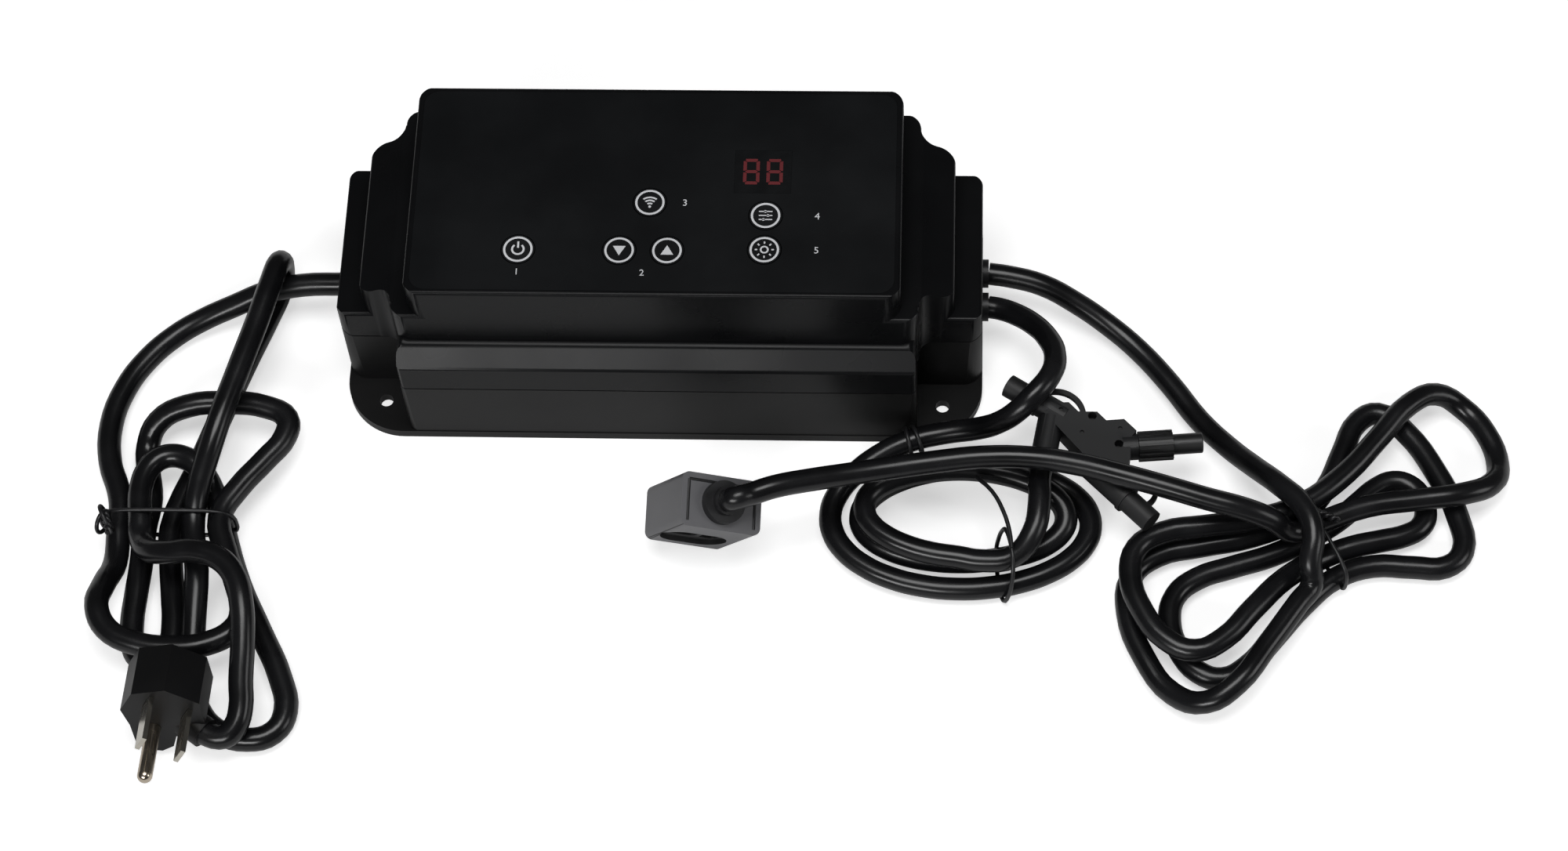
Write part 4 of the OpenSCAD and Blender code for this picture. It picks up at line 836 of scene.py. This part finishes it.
def wrap_points(middle, across, half, high, low):
    """Points of a wire drawn tight round a bundle, in mm."""
    up = Vector((0, 0, 1))
    points = []
    for i in range(WRAP_STEPS):
        a = 360 * i / WRAP_STEPS
        c, s = cos(a), sin(a)
        x = half * math.copysign(abs(c) ** WRAP_SQUARENESS, c)
        z = (high - low) / 2 * math.copysign(abs(s) ** WRAP_SQUARENESS, s)
        points.append(Vector(middle) + x * across + (z + (high + low) / 2) * up)
    return points


def twist_points(start, way, radius, phase):
    """One strand of a twisted pair, in mm."""
    way = Vector(way).normalized()
    side = way.cross(Vector((0, 0, 1))).normalized()
    up = side.cross(way)
    points = []
    for i in range(TWIST_STEPS + 1):
        a = phase + 360 * TWIST_L * i / TWIST_STEPS / TWIST_PITCH
        points.append(Vector(start) + way * TWIST_L * i / TWIST_STEPS
                      + radius * (cos(a) * side + sin(a) * up))
    return points


def loop_points(middle, way, radius):
    """A loop of wire square to a direction, in mm."""
    way = Vector(way).normalized()
    side = way.cross(Vector((0, 0, 1))).normalized()
    up = side.cross(way)
    return [Vector(middle) + radius * (cos(a) * side + sin(a) * up) for a in range(0, 360, 30)]


def bound_strands(middle, across, half, top, start, way, wire_r):
    """A wire round a bundle and its two ends twisted together, in mm."""
    strands = [(wrap_points(middle, across, half, top, CORD_LIFT - TIE_UNDER), True)]
    for phase in (0, 180):
        strands.append((twist_points(start, way, wire_r * TWIST_WIDTH, phase), False))
    return strands


def power_tie_strands(wire_r):
    """The hank's tie: a twisted wire with two loops at the twist."""
    low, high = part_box("power_tie")
    mid = (low + high) / 2 / MM
    half = (high - low).x / MM / 2 - TIE_INSET
    top = CORD_LIFT + 2 * POWER_D + PITCH_GAP + POWER_TIE_OVER
    start = Vector((mid.x - half + POWER_TWIST_IN, HANK_WAIST[1] - POWER_TWIST_DOWN,
                    top + TIE_RISE))
    strands = bound_strands((mid.x, HANK_WAIST[1], 0), Vector((1, 0, 0)), half, top, start,
                            POWER_TWIST_WAY, wire_r)
    for place, way, radius in POWER_LOOPS:
        strands.append((loop_points(start + Vector(place), way, radius), True))
    return strands


def sensor_tie_strands(wire_r):
    """The tie of the figure of eight: a twisted wire across its waist."""
    across = Vector((cos(BOW_AXIS + 90), sin(BOW_AXIS + 90), 0))
    middle = (*BOW_WAIST, 0)
    half = 2 * (SIGNAL_D + PITCH_GAP) + SENSOR_TIE_SPARE
    top = CORD_LIFT + 2 * SIGNAL_D + PITCH_GAP + SENSOR_TIE_OVER
    start = Vector(middle) + across * half * SENSOR_TWIST_AT + Vector((0, 0, top + TIE_RISE))
    return bound_strands(middle, across, half, top, start, SENSOR_TWIST_WAY, wire_r)


def output_tie_strands():
    """The oval coil's tie: a wire round its front strands, a free end and two rings."""
    ring = loop_points(OVAL[2], OVAL[2] - OVAL[1], SIGNAL_D / 2 + RING_GAP)
    slant_ring = loop_points(OVAL[2] + SLANT_RING_AT * (OVAL[1] - OVAL[2]), SLANT_RING_WAY,
                             SIGNAL_D / 2 + SLANT_RING_GAP)
    return [([Vector(p) for p in COIL_TIE], True), ([Vector(p) for p in COIL_TIE_END], False),
            (ring, True), (slant_ring, True)]


class SUPPLY_OT_ties(bpy.types.Operator):
    """Winds a wire tie round each wound cord"""
    bl_idname = "supply.ties"
    bl_label = "Wire ties"

    def execute(self, context):
        s = context.scene.supply_ties
        wire = moulded("tie_wire", s.colour, 0.4, 0.0004)
        wire_r = s.wire_r / MM
        for name, node, strands in (
            ("power_tie_wire", "power_tie", power_tie_strands(wire_r)),
            ("sensor_tie_wire", "sensor_tie", sensor_tie_strands(wire_r)),
            ("output_tie_wire", "output_tie", output_tie_strands()),
        ):
            piece = strand_mesh(name, strands, 2 * wire_r, wire)
            smooth(piece, 60)
            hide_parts(node)
            settle(piece, CASE, "tie_plastic", wire)
        return {"FINISHED"}


COVER_EDGE = 0.0008


class SUPPLY_OT_case(bpy.types.Operator):
    """Finishes the base, the stepped cover, the seal and the screws"""
    bl_idname = "supply.case"
    bl_label = "Case finish"

    def execute(self, context):
        s = context.scene.supply_case
        base = moulded("base_plastic", s.base, 0.4, s.grain, strength=0.1, specular=0.17)
        cover = moulded("cover_plastic", s.cover, 0.28, s.grain * 1.2, depth=0.00001,
                        strength=0.05, specular=0.13)
        screw = metal("screw_steel", s.screw, 0.3)
        dress("base_housing", base)
        shell = solid_copy("top_cover", "cover_shell")
        bevelled(shell, COVER_EDGE, 3, 50)
        smooth(shell, 38, even=True)
        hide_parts("top_cover")
        settle(shell, CASE, "cover_plastic", cover)
        dress("base_gasket", moulded("seal_rubber", (0.02, 0.02, 0.021), 0.7))
        for node in ("housing_screws", "board_screws", "control_screws"):
            dress(node, screw)
        relief = moulded("relief_rubber", (0.008, 0.008, 0.009), 0.45, 0.0005)
        for node in ("power_strain_relief", "output_strain_reliefs", "sensor_boot"):
            dress(node, relief)
        return {"FINISHED"}


class SUPPLY_OT_inside(bpy.types.Operator):
    """Gives the boards and their parts their materials"""
    bl_idname = "supply.inside"
    bl_label = "Inside parts"

    def execute(self, context):
        board = laminate("board_mask", (0.02, 0.11, 0.045))
        black = moulded("black_epoxy", (0.012, 0.012, 0.013), 0.45)
        ferrite = moulded("ferrite", (0.03, 0.03, 0.032), 0.6, 0.0004)
        copper = metal("enamelled_copper", (0.72, 0.34, 0.16), 0.28)
        sleeve = moulded("capacitor_sleeve", (0.012, 0.03, 0.09), 0.25)
        finishes = {
            "control_board": board, "main_board": board, "tact_switches": black,
            "control_chip": black, "rectifier": black, "power_transistors": black,
            "radio_module": metal("tinned_shield", (0.62, 0.63, 0.64), 0.35),
            "ribbon_cable": moulded("ribbon_vinyl", (0.3, 0.3, 0.31), 0.5),
            "transformer_core": ferrite, "choke_core": ferrite,
            "transformer_bobbin": moulded("bobbin_nylon", (0.55, 0.5, 0.36), 0.5),
            "transformer_winding": copper, "choke_winding": copper,
            "input_capacitor": sleeve, "output_capacitors": sleeve,
            "heat_sink": metal("extruded_aluminium", (0.7, 0.71, 0.72), 0.4),
            "relay": moulded("relay_cover", (0.03, 0.08, 0.25), 0.4),
            "fuse": moulded("fuse_glass", (0.5, 0.55, 0.55), 0.12),
            "fuse_clips": metal("clip_brass", (0.72, 0.52, 0.25), 0.3),
            "terminal_blocks": moulded("terminal_nylon", (0.04, 0.18, 0.08), 0.5),
            "inner_leads": moulded("lead_vinyl", (0.4, 0.32, 0.06), 0.45),
            "display_module": moulded("display_epoxy", (0.008, 0.003, 0.0035), 0.5),
        }
        for node, material in finishes.items():
            dress(node, material)
        return {"FINISHED"}


# The middle of each key, in mm.
KEYS = {
    "key_power": (-42.3, -22.3), "key_down": (-10.45, -22.3), "key_up": (4.6, -22.3),
    "key_pair": (-1.6, -4.5), "key_mode": (35.1, -9.0), "key_set": (35.1, -21.65),
}
# Heights of the panel's face and of the keys' faces, in mm.
PANEL_Z = 76.0
KEY_Z = 76.05
# Each printed number with its place and its size, in mm.
NUMBERS = (
    ("1", -42.3, -30.6, 3.2), ("2", -3.0, -30.6, 3.2), ("3", 9.5, -4.6, 3.4),
    ("4", 51.4, -9.2, 3.4), ("5", 51.4, -21.8, 3.4),
)
# The display's middle and its digits' sizes in metres. A segment's end is a share of its width.
DISPLAY_MID = (0.0338, 0.0074)
DIGIT_OFFSET = 0.0037
DIGIT_W = 0.0052
DIGIT_H = 0.0096
SEGMENT_W = 0.0011
SEGMENT_END = 0.42


def key_sign(node, s):
    """The generic sign of one key, drawn round the origin as shares of its ring and stroke."""
    z, t, w = KEY_Z * MM, s.ink_t, s.stroke
    r = s.ring_r
    parts = [flat_ring(r, r - w, t, z)]
    if node == "key_power":
        parts.append(flat_ring(r * 0.46, r * 0.46 - w * 0.9, t, z, start=128, turn=284, steps=32))
        parts.append(flat_bar(w * 0.9, r * 0.5, t, z, y=r * 0.36, chamfer=w * 0.3))
    elif node == "key_down":
        parts.append(flat_disc(r * 0.5, t, z, y=r * 0.08, sides=3, a=180))
    elif node == "key_up":
        parts.append(flat_disc(r * 0.5, t, z, y=-r * 0.08, sides=3))
    elif node == "key_pair":
        parts.append(flat_disc(w * 0.62, t, z, y=-r * 0.34))
        for k in (0.32, 0.56, 0.8):
            arc = flat_ring(r * k, r * k - w * 0.8, t, z, start=52, turn=76, steps=16)
            parts.append(moved(arc, 0, -r * 0.34))
    elif node == "key_mode":
        for k, x in ((-0.32, -0.14), (0, 0.16), (0.32, -0.02)):
            parts.append(flat_bar(r * 0.92, w * 0.55, t, z, y=r * k))
            parts.append(flat_disc(w * 0.7, t, z, x=r * x, y=r * k))
    else:
        parts.append(flat_ring(r * 0.3, r * 0.3 - w * 0.75, t, z))
        for i in range(8):
            a = 45 * i
            parts.append(flat_bar(r * 0.17, w * 0.7, t, z, r * 0.56 * cos(a), r * 0.56 * sin(a),
                                  a, w * 0.2))
    return join(node + "_sign", parts)


class SUPPLY_OT_panel(bpy.types.Operator):
    """Finishes the panel film and prints the keys' signs and numbers"""
    bl_idname = "supply.panel"
    bl_label = "Panel and keys"

    def execute(self, context):
        s = context.scene.supply_panel
        film = moulded("panel_film", s.film, 0.27, 0.0005, depth=0.00001, strength=0.1)
        cap = moulded("key_film", tuple(c * 1.12 for c in s.film), 0.3, 0.0005, depth=0.00001,
                      strength=0.1)
        ink = moulded("white_ink", s.ink, 0.5, 0.0003, depth=0.000004, strength=0.1, vary=0.03)
        dress("panel_overlay", film)
        dress("display_window", tinted_pane("window_pane"))
        for node, (x, y) in KEYS.items():
            dress(node, cap)
            sign = key_sign(node, s)
            sign.location = (x * MM, y * MM, 0)
            settle(sign, node, "key_plastic", ink)
            smooth(sign, 30)
        z = PANEL_Z * MM
        parts = []
        for text, x, y, size in NUMBERS:
            parts.append(plain_number(text, x * MM, y * MM, z, size * MM, s.ink_t))
        numbers = join("panel_numbers", parts)
        settle(numbers, CASE, "panel_film", ink)
        return {"FINISHED"}


class SUPPLY_OT_digits(bpy.types.Operator):
    """Draws the display's two lit digits on the pane"""
    bl_idname = "supply.digits"
    bl_label = "Display digits"

    def execute(self, context):
        s = context.scene.supply_panel
        z = PANEL_Z * MM
        w, h, stroke = DIGIT_W, DIGIT_H, SEGMENT_W
        end = stroke * SEGMENT_END
        cy = DISPLAY_MID[1]
        parts = []
        for offset in (-DIGIT_OFFSET, DIGIT_OFFSET):
            cx = DISPLAY_MID[0] + offset
            for y in (-h / 2, 0, h / 2):
                y = math.copysign(max(0, abs(y) - stroke / 2), y)
                parts.append(flat_bar(w - stroke * 1.3, stroke, s.ink_t, z, cx, cy + y, 0, end))
            for sx in (-1, 1):
                for sy in (-1, 1):
                    parts.append(flat_bar(h / 2 - stroke * 1.1, stroke, s.ink_t, z,
                                          cx + sx * (w - stroke) / 2,
                                          cy + sy * (h - stroke) / 4, 90, end))
        digits = join("display_digits", parts)
        lit = moulded("segment_red", s.segment, 0.5, 0.0004)
        settle(digits, CASE, "display_body", lit)
        return {"FINISHED"}


class SUPPLY_OT_plug(bpy.types.Operator):
    """Rounds the plug's moulding and plates its pins"""
    bl_idname = "supply.plug"
    bl_label = "Plug"

    def execute(self, context):
        s = context.scene.supply_plug
        body = moulded("plug_vinyl", s.body, 0.4, strength=0.15, specular=0.3)
        piece = solid_copy("plug_body", "plug_moulding")
        bevelled(piece, s.edge, 3, 32)
        smooth(piece, 34, even=True)
        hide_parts("plug_body")
        settle(piece, CASE, "plug_plastic", body)
        dress("plug_blades", metal("blade_plating", s.blade, 0.22, 90))
        dress("ground_pin", metal("pin_plating", (0.6, 0.52, 0.42), 0.22, 90))
        return {"FINISHED"}


class SUPPLY_OT_splitter(bpy.types.Operator):
    """Finishes the connector box, its caps and the connector"""
    bl_idname = "supply.splitter"
    bl_label = "Connector box"

    def execute(self, context):
        s = context.scene.supply_sensor
        box = moulded("box_plastic", s.box, 0.5, 0.0005)
        black = moulded("connector_plastic", (0.009, 0.009, 0.0095), 0.42, 0.0005)
        cap = moulded("cap_rubber", (0.008, 0.008, 0.0085), 0.5, 0.0005)
        for node, name, edge, slot, material in (
            ("splitter_body", "box_moulding", 0.0006, "splitter_plastic", box),
            ("splitter_caps", "cap_mouldings", 0.0006, "cap_rubber", cap),
            ("connector_nut", "nut_moulding", 0.0003, "black_plastic", black),
            ("connector_insert", "insert_moulding", 0.0004, "black_plastic", black),
        ):
            piece = solid_copy(node, name)
            bevelled(piece, edge, 2, 50)
            smooth(piece, 40, even=True)
            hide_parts(node)
            settle(piece, CASE, slot, material)
        return {"FINISHED"}


# The direction that the eye faces, its place along and up the head in mm, and in metres the half
# sizes of its recess and the depths between which the recess lies. The recess's faces there get
# painted shade.
EYE_FACE = Vector((0, -0.965, -0.262))
EYE_SIDE, EYE_UP = 8.5, 42.6
EYE_HALF_W, EYE_HALF_H = 0.0112, 0.0072
EYE_SHALLOW, EYE_DEEP = 0.0009, 0.0062
# The lid's corners and its seam, in mm.
LID_CORNERS = [Vector(p) for p in ((11, -97, 36.1), (11.4, -82.5, 40.05),
                                   (33.5, -79.9, 28.05), (33.2, -94.4, 24.15))]
SEAM_D = 1.1
SEAM_IN = 1.1
SEAM_PAST = 0.6
SEAM_SUNK = 0.25


def paint_recess_shade(piece):
    """Gives the faces inside the eye's recess the second material, a darker one that paints shade
    into the recess.
    """
    side = EYE_FACE.cross(HEAD_AXIS).normalized()
    reach = max(EYE_FACE.dot(v.co) for v in piece.data.vertices)
    for polygon in piece.data.polygons:
        deep = reach - EYE_FACE.dot(polygon.center)
        if (EYE_SHALLOW < deep < EYE_DEEP
                and abs(side.dot(polygon.center) - EYE_SIDE * MM) < EYE_HALF_W
                and abs(HEAD_AXIS.dot(polygon.center) - EYE_UP * MM) < EYE_HALF_H):
            polygon.material_index = 1


def seam_strands():
    """The three sides of the lid's seam, in mm."""
    right = (LID_CORNERS[2] - LID_CORNERS[1]).normalized()
    down = (LID_CORNERS[0] - LID_CORNERS[1]).normalized()
    moves = ((SEAM_IN, -SEAM_PAST), (SEAM_IN, SEAM_IN), (-SEAM_IN, SEAM_IN), (-SEAM_IN, -SEAM_PAST))
    corners = [corner + x * right + y * down - SEAM_SUNK * HEAD_AXIS
               for corner, (x, y) in zip(LID_CORNERS, moves)]
    return [([a, (a + b) / 2, b], False) for a, b in zip(corners, corners[1:])]


class SUPPLY_OT_head(bpy.types.Operator):
    """Rounds the sensor head, paints shade into its eye's recess, lays its seam and finishes its
    cells
    """
    bl_idname = "supply.head"
    bl_label = "Sensor head"

    def execute(self, context):
        s = context.scene.supply_sensor
        head = moulded("head_plastic", s.head, 0.4, 0.0005)
        piece = solid_copy("sensor_housing", "sensor_head_shell")
        bevelled(piece, s.edge, 2, 40)
        smooth(piece, 40, even=True)
        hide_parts("sensor_housing")
        settle(piece, CASE, "head_plastic", head)
        # A darker second material for the recess's faces: painted shade in the eye's recess.
        piece.data.materials.append(moulded("eye_recess", (0.008, 0.008, 0.0085), 0.5))
        paint_recess_shade(piece)
        rubber = moulded("seam_rubber", (0.006, 0.006, 0.0065), 0.5)
        seam = strand_mesh("head_seam", seam_strands(), SEAM_D, rubber)
        smooth(seam, 60)
        settle(seam, CASE, "head_plastic", rubber)
        dress("sensor_cell", moulded("cell_lens", (0.006, 0.005, 0.005), 0.15))
        return {"FINISHED"}


class SUPPLY_OT_cord_facts(bpy.types.Operator):
    """A step that does nothing"""
    bl_idname = "supply.cord_facts"
    bl_label = "Cord facts"

    def execute(self, context):
        return {"FINISHED"}


class SUPPLY_PT_pieces(bpy.types.Panel):
    """Lists the steps and the settings of the power supply"""
    bl_idname = "SUPPLY_PT_pieces"
    bl_label = "Smart power supply"
    bl_space_type = "VIEW_3D"
    bl_region_type = "UI"
    bl_category = "Supply"

    def draw(self, context):
        for step in STEPS:
            self.layout.operator(step.bl_idname)
        for group in SETTINGS:
            settings = getattr(context.scene, group)
            for prop in settings.bl_rna.properties:
                if prop.identifier not in ("rna_type", "name"):
                    self.layout.prop(settings, prop.identifier)


SETTINGS = {
    "supply_stage": StageSettings, "supply_cords": CordSettings, "supply_case": CaseSettings,
    "supply_panel": PanelSettings, "supply_plug": PlugSettings,
    "supply_sensor": SensorSettings, "supply_ties": TieSettings,
}
STEPS = (SUPPLY_OT_stage, SUPPLY_OT_cords, SUPPLY_OT_ties, SUPPLY_OT_case, SUPPLY_OT_inside,
         SUPPLY_OT_panel, SUPPLY_OT_digits, SUPPLY_OT_plug, SUPPLY_OT_splitter, SUPPLY_OT_head,
         SUPPLY_OT_cord_facts)


def register():
    for group, settings in SETTINGS.items():
        bpy.utils.register_class(settings)
        setattr(bpy.types.Scene, group, bpy.props.PointerProperty(type=settings))
    for cls in STEPS + (SUPPLY_PT_pieces,):
        bpy.utils.register_class(cls)


def unregister():
    for cls in reversed(STEPS + (SUPPLY_PT_pieces,)):
        bpy.utils.unregister_class(cls)
    for group, settings in reversed(list(SETTINGS.items())):
        delattr(bpy.types.Scene, group)
        bpy.utils.unregister_class(settings)


def main():
    register()
    for step in STEPS:
        category, name = step.bl_idname.split(".")
        getattr(getattr(bpy.ops, category), name)()


if __name__ == "__main__":
    main()
